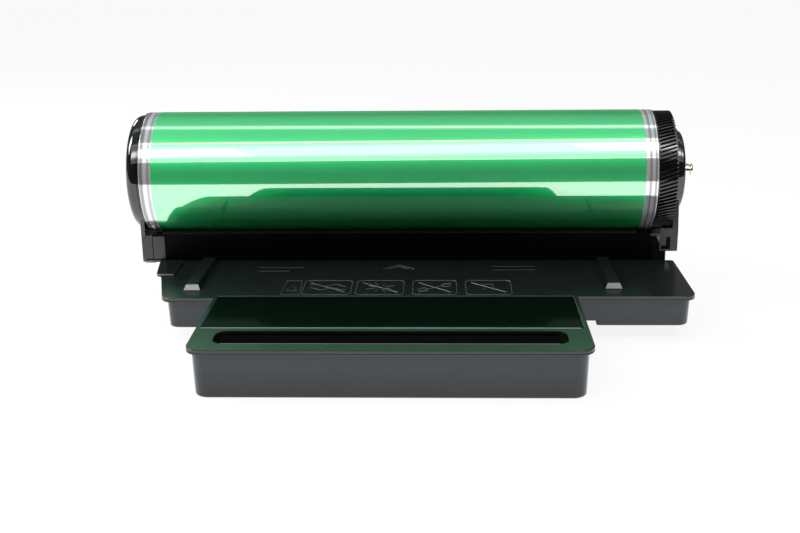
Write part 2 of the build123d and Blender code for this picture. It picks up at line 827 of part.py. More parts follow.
# Springs under the saddles
coil_r = spring_r - spring_wire / 2
coil_height = spring_length - spring_wire - 0.1
for name, side in (("left_bearing_spring", -1), ("right_bearing_spring", 1)):
    centre = (x_shift + side * spring_x, y_shift + roller_at[0], z_shift + spring_seat + spring_wire / 2 + 0.05)
    with BuildPart() as bearing_spring:
        with BuildLine() as coil:
            Helix(coil_height / spring_turns, coil_height, coil_r, center=centre)
        with BuildSketch(Plane(origin=coil.line @ 0, z_dir=coil.line % 0)):
            RegularPolygon(spring_wire / 2, 4)
        sweep(is_frenet=True)
    save(bearing_spring.part, name)

# Foam that wipes the roller, on a channel between the saddles
pad_top = roller_at[1] - roller_r - 0.3
holder_half = bearing_half - 0.4
with BuildPart() as pad_holder:
    box(
        (-bearing_x, bearing_x),
        (roller_at[0] - holder_half, roller_at[0] + holder_half),
        (pad_top - pad_t - holder_t, pad_top - pad_t),
    )
save(pad_holder.part, "pad_holder")

with BuildPart() as roller_cleaning_pad:
    box(
        (-sleeve_half, sleeve_half),
        (roller_at[0] - holder_half + 0.6, roller_at[0] + holder_half - 0.6),
        (pad_top - pad_t, pad_top),
    )
save(roller_cleaning_pad.part, "roller_cleaning_pad")

# Contact strip under the left spring, out through the wall to the left plate
with BuildPart() as charge_contact:
    box(
        (-cap_in + 0.1, -spring_x + 2.0),
        (roller_at[0] - 2.0, roller_at[0] + 2.0),
        (spring_seat - contact_t, spring_seat),
    )
save(charge_contact.part, "charge_contact")


def lid_outline(inset=0.0):
    """Filleted outline of the lid, pulled in all round by an inset."""
    points = [
        (-wing_left_rear + inset, -lid_rear - inset),
        (-wing_left_step + inset, -wing_step_y + inset),
        (-wing_left_mid + inset, -wing_step_y + inset),
        (-wing_left_front + inset, -wing_front_left + inset),
        (-handle_left + inset, -wing_front_left + inset),
        (-handle_left + inset, -handle_front + inset),
        (handle_right - inset, -handle_front + inset),
        (handle_right - inset, -wing_front_right + inset),
        (wing_right - inset, -wing_front_right + inset),
        (wing_right - inset, -lid_rear - inset),
    ]
    rounds = [0, corner_step, 0, corner_wing, 0, corner_handle, corner_handle, 0, corner_wing, corner_step]
    with BuildLine() as outline:
        FilletPolyline(*points, radius=[max(0.0, r - inset / 2) for r in rounds], close=True)
    make_face(outline.edges())


def wing_region(x0, x1, y_front, y_rear, corner):
    """Rectangle between two x and two y values, its two front corners rounded."""
    with Locations(((x0 + x1) / 2, (y_front + y_rear) / 2)):
        outline = Rectangle(x1 - x0, y_rear - y_front)
    fillet(outline.vertices().group_by(Axis.Y)[0], corner)


# Waste lid: plate with lip, finger pocket, label field, ridges and latch recesses
slot_x = (handle_right - handle_left) / 2
pocket_wall = 1.6
with BuildPart() as waste_lid:
    with BuildSketch(level(lid_bottom)):
        lid_outline()
    extrude(amount=lid_t)
    fillet(waste_lid.faces().sort_by(Axis.Z)[-1].edges(), 0.5)
    with BuildSketch(level(lid_bottom)):
        with Locations((slot_x, -slot_y)):
            SlotOverall(slot_length + 2 * pocket_wall, slot_width + 2 * pocket_wall)
    extrude(amount=-(slot_depth + pocket_wall - lid_t))
    with BuildSketch(level(lid_top)):
        with Locations((slot_x, -slot_y)):
            SlotOverall(slot_length, slot_width)
    extrude(amount=-slot_depth, mode=Mode.SUBTRACT)
    with BuildSketch(level(lid_top)):
        with Locations((slot_x, -(label_front + label_rear) / 2)):
            Rectangle(handle_left + handle_right - 2 * label_side, label_length)
    extrude(amount=-label_depth, mode=Mode.SUBTRACT)
    for x, front in ridge_fronts:
        with BuildSketch(upright(-ridge_rear, lid_top)):
            with BuildLine():
                Polyline(
                    (x - ridge_base / 2, 0),
                    (x + ridge_base / 2, 0),
                    (x + ridge_top / 2, ridge_height),
                    (x - ridge_top / 2, ridge_height),
                    close=True,
                )
            make_face()
        extrude(amount=front - ridge_rear)
    for x, y in latches:
        with BuildSketch(level(lid_top)):
            with Locations((x, y)):
                Rectangle(latch_length, latch_width)
                Rectangle(tab_length, tab_width, mode=Mode.SUBTRACT)
        extrude(amount=-latch_depth, mode=Mode.SUBTRACT)
    notch_x = wing_right - corner_wing - notch_in
    box(
        (notch_x - notch_length, notch_x),
        (notch_y - notch_width / 2, notch_y + notch_width / 2),
        (lid_top - latch_depth, lid_top),
        mode=Mode.SUBTRACT,
    )
    pad_start = -wing_left_rear + lip
    box(
        (pad_start, pad_start + corner_pad_length),
        (-wing_step_y + 0.6, -lid_rear - 1.0),
        (lid_top, lid_top + corner_pad_t),
    )
save(waste_lid.part, "waste_lid")

# Waste tub: handle box, wings, rear tray and runners in one moulding, open under the lid
tub_rear = -front_wall_y - port_gap
tub_left = wing_left_front - lip
tub_right = wing_right - lip
deep_x = handle_right + deep_wing_gap
wing_floor = wing_bottom + step_rise
tray_left = overhang_x
tray_right = cover_out


def tub_regions(inset, mode):
    """The tub's five depths, each pulled in by an inset at the sides and the floor."""
    rise = inset
    regions = (
        (-handle_left + lip, handle_right - lip, -handle_front + lip, -handle_back, ground, corner_handle),
        (-tub_left, tub_right, -wing_front_right + lip, tub_rear, wing_floor, corner_wing),
        (-tub_left, -handle_left + lip, -wing_front_left + lip, tub_rear, wing_bottom, corner_wing),
        (deep_x, tub_right, -wing_front_right + lip, tub_rear, wing_bottom, corner_wing),
    )
    for x0, x1, y_front, y_rear, floor, corner in regions:
        with BuildSketch(level(lid_bottom)) as region:
            wing_region(x0 + inset, x1 - inset, y_front + inset, y_rear - inset, corner - inset / 2)
        extrude(region.sketch, amount=-(lid_bottom - floor - rise), taper=draft, mode=mode)


with BuildPart() as waste_tub:
    tub_regions(0.0, Mode.ADD)
    bottom = waste_tub.faces().sort_by(Axis.Z)[0]
    fillet(bottom.edges(), bottom_round)
    box((-tray_left, tray_right), (tub_rear - 1.0, rear_wall_y), (wing_bottom, tray_top))
    tub_regions(shell_t, Mode.SUBTRACT)
    for side in (-1, 1):
        x = side * runner_x
        box((x - runner_t / 2, x + runner_t / 2), (tub_rear, rear_wall_y - 2.0), (ground, wing_bottom))
    box(
        (port_x[0] + 1.0, port_x[1] - 1.0),
        (tub_rear - shell_t - 1.5, tub_rear),
        (wing_bottom + 6.0, lid_bottom - 2.0),
        mode=Mode.SUBTRACT,
    )
save(waste_tub.part, "waste_tub")

# Foam frame round the port, between the housing and the tub
with BuildPart() as waste_port_seal:
    with BuildSketch(upright(-front_wall_y, (wing_bottom + lid_bottom) / 2 + 1.5)):
        with Locations(((port_x[0] + port_x[1]) / 2, 0)):
            Rectangle(port_x[1] - port_x[0] + 4.0, 9.0)
            Rectangle(port_x[1] - port_x[0], 5.0, mode=Mode.SUBTRACT)
    extrude(amount=port_gap)
save(waste_port_seal.part, "waste_port_seal")
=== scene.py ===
"""Printer drum unit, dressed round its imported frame.

Sizes are millimetres from the middle of the drum's axis, x to the right, y to the rear and z up.
Assembly.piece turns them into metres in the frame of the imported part.
"""

from __future__ import annotations

import logging
from dataclasses import dataclass
from enum import Enum
from math import acos, cos, pi, radians, sin, tan, tau
from typing import Any, Callable, Sequence

import bmesh
import bpy
from bmesh.types import BMEdge, BMVert
from mathutils import Matrix, Quaternion, Vector

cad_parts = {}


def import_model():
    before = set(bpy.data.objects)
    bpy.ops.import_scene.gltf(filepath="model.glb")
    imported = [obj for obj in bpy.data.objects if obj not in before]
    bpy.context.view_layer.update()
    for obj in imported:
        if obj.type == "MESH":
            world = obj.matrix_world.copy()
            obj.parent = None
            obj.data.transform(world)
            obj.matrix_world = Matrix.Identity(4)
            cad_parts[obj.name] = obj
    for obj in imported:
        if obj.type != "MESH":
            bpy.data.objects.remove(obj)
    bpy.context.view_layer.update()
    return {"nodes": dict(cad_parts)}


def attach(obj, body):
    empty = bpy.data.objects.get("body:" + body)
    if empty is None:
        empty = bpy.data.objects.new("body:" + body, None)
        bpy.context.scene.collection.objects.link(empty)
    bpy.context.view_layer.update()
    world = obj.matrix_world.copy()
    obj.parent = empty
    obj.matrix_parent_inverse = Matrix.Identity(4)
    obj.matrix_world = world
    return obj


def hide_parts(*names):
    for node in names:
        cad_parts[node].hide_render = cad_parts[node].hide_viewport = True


LOG = logging.getLogger("drum_unit")

MM = 0.001
AXIS_AT = Vector((-7.3, 56.5, 62.2))
SHAFT_BORE = 3.51
Point = tuple[float, float]
Colour = tuple[float, float, float]
Line = tuple[list[Point], bool]


class Lie(Enum):
    """Plane that an outline lies in: the axes of its two coordinates, then the axis square to it."""

    LEVEL = (0, 1, 2)
    ACROSS = (1, 2, 0)
    UPRIGHT = (0, 2, 1)

    def point(self, u: float, v: float, at: float) -> Vector:
        """Place of an outline's point.

        Args:
            u: Its first coordinate in the plane.
            v: Its second coordinate in the plane.
            at: Its place on the axis square to the plane.

        Returns:
            The place in space.
        """
        place = Vector()
        for axis, value in zip(self.value, (u, v, at)):
            place[axis] = value
        return place


# Shader maths and materials


class Wire:
    """Number socket of a shader that grows Math nodes when it is used in an expression."""

    def __init__(self, paint: "Paint", socket: bpy.types.NodeSocket) -> None:
        """Wrap one output socket of a paint's node tree."""
        self.paint = paint
        self.socket = socket

    def beside(self, output: Any) -> "Wire":
        """Another output of the same node, by name or number."""
        return Wire(self.paint, self.socket.node.outputs[output])

    def maths(self, operation: str, *values: "Wire | float") -> "Wire":
        """Math node on the values in order; self isn't added to them."""
        return self.paint.node("ShaderNodeMath", {"operation": operation}, dict(enumerate(values)))

    def __add__(self, other: "Wire | float") -> "Wire":
        """Sum."""
        return self.maths("ADD", self, other)

    def __sub__(self, other: "Wire | float") -> "Wire":
        """Difference."""
        return self.maths("SUBTRACT", self, other)

    def __rsub__(self, other: float) -> "Wire":
        """Difference from a number."""
        return self.maths("SUBTRACT", other, self)

    def __mul__(self, other: "Wire | float") -> "Wire":
        """Product."""
        return self.maths("MULTIPLY", self, other)

    __radd__ = __add__
    __rmul__ = __mul__

    def between(self, low: float, high: float) -> "Wire":
        """Smooth step from 0 at low to 1 at high."""
        inputs = {"Value": self, "From Min": low, "From Max": high}
        return self.paint.node("ShaderNodeMapRange", {"interpolation_type": "SMOOTHSTEP"}, inputs)


class Paint:
    """Node tree of a material or of the world."""

    def __init__(self, tree: bpy.types.NodeTree) -> None:
        """Start from an emptied tree."""
        self.tree = tree
        tree.nodes.clear()

    def node(self, kind: str, settings: dict[str, Any], inputs: dict[Any, Any], output: Any = 0) -> Wire:
        """Add one node.

        Args:
            kind: The node's type.
            settings: Its properties, which are set first.
            inputs: Values or links of its sockets by name or number.
            output: Name or number of the output that is returned.

        Returns:
            The wrapped output socket.
        """
        made = self.tree.nodes.new(kind)
        for key, value in settings.items():
            setattr(made, key, value)
        for key, value in inputs.items():
            socket = made.inputs[key]
            if isinstance(value, Wire):
                self.tree.links.new(value.socket, socket)
            elif isinstance(value, tuple) and socket.type == "RGBA" and len(value) == 3:
                socket.default_value = (*value, 1.0)
            else:
                socket.default_value = value
        return Wire(self, made.outputs[output] if made.outputs else None)

    def place(self) -> Wire:
        """Object coordinates, in metres of the part's frame."""
        return self.node("ShaderNodeTexCoord", {}, {}, "Object")

    def parts(self, vector: Wire) -> list[Wire]:
        """The three numbers of a vector."""
        split = self.node("ShaderNodeSeparateXYZ", {}, {0: vector})
        return [split.beside(i) for i in range(3)]

    def noise(self, scale: float, detail: float = 3.0, stretch: Sequence[float] = (1, 1, 1)) -> Wire:
        """Noise from 0 to 1 on Object coordinates; stretch multiplies the scale along each axis."""
        vector = self.node("ShaderNodeMapping", {}, {"Vector": self.place(), "Scale": tuple(stretch)})
        inputs = {"Vector": vector, "Scale": scale, "Detail": detail, "Roughness": 0.55}
        return self.node("ShaderNodeTexNoise", {}, inputs)

    def blend(self, amount: Wire | float, low: Any, high: Any) -> Wire:
        """Colour between two colours."""
        return self.node("ShaderNodeMix", {"data_type": "RGBA"}, {0: amount, 6: low, 7: high}, 2)

    def bump(self, height: Wire, depth: float) -> Wire:
        """Normal from a height; depth is in metres."""
        return self.node("ShaderNodeBump", {}, {"Height": height, "Distance": depth, "Strength": 1.0})

    def surface(self, **sockets: Any) -> None:
        """Put a Principled shader on the output.

        Args:
            sockets: Its inputs; names with underscores stand for the sockets' own.
        """
        named = {key.replace("_", " ").title().replace("Ior", "IOR"): v for key, v in sockets.items()}
        shader = self.node("ShaderNodeBsdfPrincipled", {}, named)
        self.node("ShaderNodeOutputMaterial", {}, {0: shader})


def new_material(name: str) -> tuple[bpy.types.Material, Paint]:
    """Make an empty material.

    Args:
        name: Its name.

    Returns:
        The material and its paint.
    """
    material = bpy.data.materials.new(name)
    material.use_nodes = True
    return material, Paint(material.node_tree)


@dataclass(frozen=True)
class Finish:
    """What every finish has."""

    name: str
    slot: str
    colour: Colour
    roughness: float

    def shade(self, factor: float) -> Colour:
        """The colour, darker or lighter by a factor."""
        return tuple(c * factor for c in self.colour)

    def dress(self, paint: Paint) -> None:
        """Lay the material's nodes; each kind of finish has its own."""
        raise NotImplementedError

    def material(self) -> bpy.types.Material:
        """Build the material.

        Returns:
            The material.
        """
        material, paint = new_material(self.name)
        self.dress(paint)
        return material


@dataclass(frozen=True)
class Moulded(Finish):
    """Moulded plastic with a fine spark-eroded grain and slight changes of tone and gloss."""

    grain: float = 0.00002
    grain_scale: float = 2600.0
    tone: float = 0.25
    gloss_spread: float = 0.06
    specular: float = 0.5
    lighter_upward: bool = False
    lighter_span: Point = (-0.002, 0.021)

    def dress(self, paint: Paint) -> None:
        """Lay the nodes; the tub's grey gets lighter towards the top.

        Args:
            paint: The material's nodes.
        """
        cloud = paint.noise(60.0, 4.0)
        if self.lighter_upward:
            height = paint.parts(paint.place())[2].between(*self.lighter_span)
            cloud = cloud * 0.4 + height - 0.1
        fine = paint.noise(self.grain_scale, 2.0)
        paint.surface(
            base_color=paint.blend(cloud, self.shade(1 - self.tone), self.shade(1 + self.tone)),
            roughness=(paint.noise(140.0, 3.0) - 0.5) * (2 * self.gloss_spread) + self.roughness,
            specular_ior_level=self.specular,
            normal=paint.bump(fine, self.grain),
        )


@dataclass(frozen=True)
class GreenLayer(Finish):
    """Photoconductor: clear coat over a green tinted tube, nearly without texture."""

    deep: Colour = (0.015, 0.80, 0.22)

    def dress(self, paint: Paint) -> None:
        """Lay the nodes, a tinted metal under a strong coat, with faint bands round the drum.

        Args:
            paint: The material's nodes.
        """
        bands = paint.noise(26.0, 3.0, (1.0, 0.02, 0.02))
        paint.surface(
            base_color=paint.blend(bands, self.deep, self.colour),
            metallic=0.75,
            roughness=bands * 0.04 + self.roughness,
            coat_weight=1.0,
            coat_roughness=0.03,
            coat_ior=3.9,
        )


@dataclass(frozen=True)
class TurnedMetal(Finish):
    """Metal with fine rings turned round the drum's axis."""

    ring_scale: float = 1500.0
    ring_depth: float = 0.000012
    contrast: float = 0.6
    metallic: float = 1.0

    def dress(self, paint: Paint) -> None:
        """Lay the nodes; the rings run on x alone.

        Args:
            paint: The material's nodes.
        """
        along = (1.0, 0.004, 0.004)
        rings = paint.noise(self.ring_scale, 4.0, along)
        wide = paint.noise(self.ring_scale / 2.4, 2.0, along)
        paint.surface(
            base_color=paint.blend(wide.between(0.35, 0.62), self.shade(1 - self.contrast), self.colour),
            metallic=self.metallic,
            roughness=rings * 0.08 + self.roughness,
            normal=paint.bump(rings, self.ring_depth),
        )


@dataclass(frozen=True)
class SheetMetal(Finish):
    """Plated or rolled metal with cloudy gloss."""

    cloud_scale: float = 300.0

    def dress(self, paint: Paint) -> None:
        """Lay the nodes.

        Args:
            paint: The material's nodes.
        """
        cloud = paint.noise(self.cloud_scale, 5.0)
        paint.surface(
            base_color=paint.blend(cloud, self.shade(0.8), self.colour),
            metallic=1.0,
            roughness=cloud * 0.2 + self.roughness,
            normal=paint.bump(paint.noise(1800.0, 2.0), 0.00001),
        )


@dataclass(frozen=True)
class Soft(Finish):
    """Rubber, urethane or foam."""

    cell_scale: float
    cell_depth: float
    transmission: float = 0.0

    def dress(self, paint: Paint) -> None:
        """Lay the nodes; cells are the pores of a foam or the grain of a rubber.

        Args:
            paint: The material's nodes.
        """
        inputs = {"Vector": paint.place(), "Scale": self.cell_scale}
        cells = paint.node("ShaderNodeTexVoronoi", {"feature": "SMOOTH_F1"}, inputs)
        paint.surface(
            base_color=paint.blend(cells, self.shade(0.6), self.colour),
            roughness=cells * 0.15 + self.roughness,
            normal=paint.bump(cells, self.cell_depth),
            transmission_weight=self.transmission,
        )


DEEP_BLACK = (0.002, 0.002, 0.002)
FINISHES = (
    GreenLayer("photoconductor green", "photoconductor_green", (0.02, 0.88, 0.25), 0.36),
    TurnedMetal("turned aluminium", "drum_aluminium", (0.82, 0.82, 0.86), 0.05, metallic=0.7),
    TurnedMetal("ground steel", "shaft_steel", (0.78, 0.72, 0.62), 0.06, 2600.0, 0.000004, 0.15),
    Moulded("gloss black", "glossy_black", DEEP_BLACK, 0.05, 0.0000003, 900.0, 0.2, specular=0.9),
    Moulded("gear black", "gear_black", DEEP_BLACK, 0.10, 0.000001, 1500.0, 0.2, specular=0.9),
    Moulded("housing black", "housing_black", (0.0010, 0.0010, 0.0012), 0.38, specular=0.05),
    # Lighter copy of housing black for the foot blocks and the strip up the right arm's edge: painted light
    Moulded("housing black painted lit", "housing_black", (0.030, 0.031, 0.033), 0.38),
    Moulded("tub grey", "tub_grey", (0.013, 0.0175, 0.022), 0.22, tone=0.8, specular=0.44, lighter_upward=True),
    Moulded("lid black", "lid_black", (0.006, 0.008, 0.008), 0.22, 0.000010, 1900.0, specular=0.24),
    Moulded("label field", "lid_black", (0.001, 0.003, 0.002), 0.08, 0.000002, 900.0, specular=0.007),
    # Lighter copy of lid black: painted light on the lid's side and on the latch edges
    Moulded("lid black painted lit", "lid_black", (0.026, 0.030, 0.032), 0.16),
    # Lighter than the lid: painted highlight on the raised marks
    Moulded("marking_painted_light", "lid_black", (0.065, 0.075, 0.075), 0.22, 0.000004, 1200.0),
    # Light grey of the painted highlights on the ridge ends and edge strips
    Moulded("painted highlight grey", "lid_black", (0.17, 0.17, 0.185), 0.24, 0.000004, 1200.0),
    # Green-grey painted highlight on the label field's front edge
    Moulded("painted edge highlight", "lid_black", (0.32, 0.42, 0.38), 0.22, 0.000004, 1200.0),
    Moulded("acetal", "bearing_white", (0.72, 0.71, 0.66), 0.40, 0.000006, 1400.0, 0.06),
    SheetMetal("zinc plate", "zinc_steel", (0.66, 0.67, 0.70), 0.24),
    SheetMetal("screw black", "zinc_steel", (0.03, 0.03, 0.03), 0.35),
    SheetMetal("spring wire", "spring_steel", (0.56, 0.56, 0.58), 0.22, 900.0),
    SheetMetal("bronze strip", "contact_bronze", (0.72, 0.50, 0.27), 0.22),
    Soft("urethane", "blade_urethane", (0.62, 0.42, 0.16), 0.32, 900.0, 0.000006, 0.25),
    Soft("roller rubber", "roller_rubber", (0.022, 0.022, 0.025), 0.45, 2600.0, 0.000008),
    Soft("foam", "seal_foam", (0.045, 0.045, 0.047), 0.92, 1700.0, 0.00012),
    Soft("film", "clear_film", (0.012, 0.012, 0.013), 0.30, 400.0, 0.000002, 0.2),
)


class Finishes:
    """Every finish of the unit, each made once."""

    def __init__(self) -> None:
        """Build the materials."""
        self.kinds = {finish.name: finish for finish in FINISHES}
        self.made = {finish.name: finish.material() for finish in FINISHES}

    def put(self, piece: bpy.types.Object, name: str) -> None:
        """Give a piece one finish, in place of what its slots hold."""
        piece.data.materials.clear()
        piece.data.materials.append(self.made[name])


# Shapes


def linked(name: str, data: Any) -> bpy.types.Object:
    """Make an object and put it in the scene.

    Args:
        name: Its name.
        data: Its mesh, light or camera.

    Returns:
        The object.
    """
    made = bpy.data.objects.new(name, data)
    bpy.context.scene.collection.objects.link(made)
    return made


def rectangle(x0: float, x1: float, y0: float, y1: float, grow: float = 0.0) -> list[Point]:
    """Corners of a rectangle, moved out by grow."""
    x0, x1, y0, y1 = x0 - grow, x1 + grow, y0 - grow, y1 + grow
    return [(x0, y0), (x1, y0), (x1, y1), (x0, y1)]


def arc(count: int, step: float) -> list[Point]:
    """How far a quarter round leaves its square corner: pairs of 1 - cos and 1 - sin of each angle."""
    angles = [radians(i * step) for i in range(count)]
    return [(1 - cos(a), 1 - sin(a)) for a in angles]


class Form:
    """Mesh of one piece while it is made, in millimetres from the middle of the drum's axis."""

    def __init__(self) -> None:
        """Start empty."""
        self.bm = bmesh.new()

    def loop(self, points: Sequence[Sequence[float]], closed: bool = True) -> list[Any]:
        """Vertices joined by edges."""
        verts = [self.bm.verts.new(p) for p in points]
        return verts + [self.bm.edges.new(pair) for pair in zip(verts, verts[1:] + verts[:closed])]

    def mesh(self, name: str = "spare") -> bpy.types.Mesh:
        """Turn the form into a mesh, which uses it up.

        Args:
            name: The mesh's name.

        Returns:
            The mesh.
        """
        made = bpy.data.meshes.new(name)
        self.bm.to_mesh(made)
        self.bm.free()
        return made

    def merge(self, distance: float) -> None:
        """Join vertices that lie at one place."""
        bmesh.ops.remove_doubles(self.bm, verts=self.bm.verts[:], dist=distance)

    def lathe(self, profile: Sequence[Point], steps: int = 192) -> "Form":
        """Turn a closed profile round the drum's axis.

        Args:
            profile: Its (x, radius) points.
            steps: How many faces go round.

        Returns:
            This form.
        """
        made = self.loop([(x, 0.0, r) for x, r in profile])
        whole = {"cent": (0, 0, 0), "axis": (1, 0, 0), "angle": tau}
        bmesh.ops.spin(self.bm, geom=made, steps=steps, use_merge=True, **whole)
        self.merge(1e-4)
        return self

    def bevel(self, geom: list[Any], width: float, segments: int, affect: str) -> list[BMVert]:
        """Round edges or vertices; what comes back are the vertices that this makes."""
        how = {"offset": width, "segments": segments, "affect": affect, "clamp_overlap": affect == "EDGES"}
        return bmesh.ops.bevel(self.bm, geom=geom, profile=0.5, material=-1, **how)["verts"]

    def prism(
        self, lie: Lie, points: Sequence[Point], rounds: Sequence[float], start: float, end: float
    ) -> list[BMVert]:
        """Outline with rounded corners, pushed along the axis square to its plane.

        Args:
            lie: The plane it lies in.
            points: Its corners.
            rounds: Radius of each corner, or one for all of them.
            start: Where it starts on that axis.
            end: Where it ends.

        Returns:
            The vertices of its far end.
        """
        verts = [self.bm.verts.new(lie.point(u, v, start)) for u, v in points]
        face = self.bm.faces.new(verts)
        radii = rounds if len(rounds) == len(points) else [rounds[0]] * len(points)
        for vert, radius in zip(verts, radii):
            if radius > 0:
                made = self.bevel([vert], radius, 8 if radius > 3 else 4, "VERTICES")
                linked = [f for v in made for f in v.link_faces]
                face = max(linked, key=lambda f: len(f.verts))
        made = bmesh.ops.extrude_face_region(self.bm, geom=[face], use_keep_orig=True)
        far = [g for g in made["geom"] if isinstance(g, BMVert)]
        bmesh.ops.translate(self.bm, verts=far, vec=lie.point(0, 0, 1) * (end - start))
        return far

    def block(self, x: Point, y: Point, z: Point, rounds: float = 0.0) -> "Form":
        """Block between two x, two y and two z values, its upright corners rounded."""
        self.prism(Lie.LEVEL, rectangle(*x, *y), [rounds], *z)
        return self

    def disc(self, start: float, end: float, radius: float, centre: Point) -> None:
        """Round bar along x.

        Args:
            start: Where it starts.
            end: Where it ends.
            radius: Its radius.
            centre: The y and z of its middle line.
        """
        turn = Matrix.Rotation(pi / 2, 4, "Y")
        place = Matrix.Translation(((start + end) / 2, *centre)) @ turn
        size = {"radius1": radius, "radius2": radius, "depth": abs(end - start)}
        bmesh.ops.create_cone(self.bm, cap_ends=True, segments=72, matrix=place, **size)

    def add(self, other: "Form") -> "Form":
        """Take over another form's mesh as a shell of its own.

        Args:
            other: The form, which is used up.

        Returns:
            This form.
        """
        spare = other.mesh()
        self.bm.from_mesh(spare)
        bpy.data.meshes.remove(spare)
        return self

    def rounded(self, test: Callable[[BMEdge], bool], width: float, segments: int = 3) -> "Form":
        """Round the edges that pass a test.

        Args:
            test: Says of an edge whether it is rounded.
            width: How far the rounding reaches from the edge.
            segments: How many faces go over it.

        Returns:
            This form.
        """
        self.bm.normal_update()
        edges = [e for e in self.bm.edges if len(e.link_faces) == 2 and test(e)]
        self.bevel(edges, width, segments, "EDGES")
        return self

    def softened(self, width: float = 0.25, segments: int = 2, least: float = 35.0) -> "Form":
        """Round every edge sharper than an angle in degrees."""
        return self.rounded(lambda e: e.calc_face_angle(0.0) > radians(least), width, segments)

    def rim(self, height: float, width: float, side: int = 1) -> None:
        """Round the sharp edges that lie above a height, or below it where side is -1.

        Args:
            height: The height.
            width: How far the rounding reaches from the edge.
            side: Which side of the height the edges lie on.
        """

        def there(e: BMEdge) -> bool:
            """Whether an edge is one of them."""
            return all((v.co.z - height) * side > 0 for v in e.verts) and e.calc_face_angle(0.0) > 0.5

        self.rounded(there, width, 4)

    def joined(self, other: "Form") -> "Form":
        """Cut another form out of this one.

        Args:
            other: The form, which is used up.

        Returns:
            This form.
        """
        holders = []
        for form in (self, other):
            bmesh.ops.recalc_face_normals(form.bm, faces=form.bm.faces[:])
            holders.append(linked("spare", form.mesh()))
        modifier = holders[0].modifiers.new("cut", "BOOLEAN")
        modifier.object = holders[1]
        modifier.operation = "DIFFERENCE"
        modifier.solver = "EXACT"
        bpy.context.view_layer.update()
        seen = holders[0].evaluated_get(bpy.context.evaluated_depsgraph_get())
        result = bpy.data.meshes.new_from_object(seen)
        self.bm = bmesh.new()
        self.bm.from_mesh(result)
        for mesh in (holders[0].data, holders[1].data, result):
            bpy.data.meshes.remove(mesh)
        flat = radians(0.5)
        bmesh.ops.dissolve_limit(self.bm, angle_limit=flat, verts=self.bm.verts[:], edges=self.bm.edges[:])
        return self

    def ribs(self, count: int, x: Point, y: Point, half: float, turn: float = 0.0) -> None:
        """Add ribs that stand out from the drum's axis.

        Args:
            count: How many, evenly round the axis.
            x: Where each starts and ends along the axis.
            y: Its inner and outer radius.
            half: Half its width.
            turn: How far the first is turned, as a share of the step between two.
        """
        for i in range(count):
            rib = Form().block(x, y, (-half, half)).softened(0.2)
            turned = Matrix.Rotation(tau * (i + turn) / count, 4, "X")
            bmesh.ops.transform(rib.bm, matrix=turned, verts=rib.bm.verts[:])
            self.add(rib)


@dataclass
class Assembly:
    """Pieces that are built together, and the finishes that they get."""

    finishes: Finishes

    def piece(
        self, form: Form, name: str, finish: str, nodes: Sequence[str] = (), body: str = "frame",
        sharp: float = 32.0, level: bool = True,
    ) -> None:
        """Make the finished object of a form, ride it on its body and report it.

        Args:
            form: The form, which is used up.
            name: The piece's name.
            finish: The finish's name.
            nodes: The nodes it stands for.
            body: The body it rides on.
            sharp: Edges sharper than this many degrees stay creased in shading.
            level: Whether large faces keep their own normals beside rounded edges.
        """
        bm = form.bm
        bmesh.ops.recalc_face_normals(bm, faces=bm.faces[:])
        for f in bm.faces:
            f.smooth = True
        for e in bm.edges:
            e.smooth = not (len(e.link_faces) == 2 and e.calc_face_angle(0.0) > radians(sharp))
        bmesh.ops.translate(bm, verts=bm.verts[:], vec=AXIS_AT)
        bmesh.ops.scale(bm, verts=bm.verts[:], vec=(MM, MM, MM))
        piece = linked(name, form.mesh(name))
        self.finishes.put(piece, finish)
        if level:
            piece.modifiers.new("even faces", "WEIGHTED_NORMAL").keep_sharp = True
        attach(piece, body)
        if nodes:
            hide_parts(*nodes)
        LOG.info("%s: %d faces on %s", name, len(piece.data.polygons), body)


# The drum


@dataclass
class Drum(Assembly):
    """Tube with its green layer."""

    radius: float = 30.0
    film: float = 0.1
    wall: float = 1.0
    half: float = 124.3
    green_half: float = 118.3
    edge: float = 0.09
    steps: int = 288

    def build(self) -> None:
        """Make the pieces that turn with the drum."""
        green, top = self.green_half, self.radius
        low, end = top - self.edge, green - 0.08
        layer = Form().lathe([(-green, low), (-end, top), (end, top), (green, low)], self.steps)
        self.piece(layer, "green_layer", "photoconductor green", ["photoconductor_coating"], "drum")
        r, h = top - self.film, self.half
        inner = r - self.wall
        rounding = ((0.0, 0.3), (0.12, 0.1), (0.3, 0.0))
        tube = [(-h, inner + 0.15)]
        tube += [(-h + x, r - drop) for x, drop in rounding]
        tube += [(h - x, r - drop) for x, drop in reversed(rounding)]
        tube += [(h, inner + 0.15), (h - 0.15, inner), (-h + 0.15, inner)]
        self.piece(Form().lathe(tube, self.steps), "drum_sleeve", "turned aluminium", ["drum_tube"], "drum")


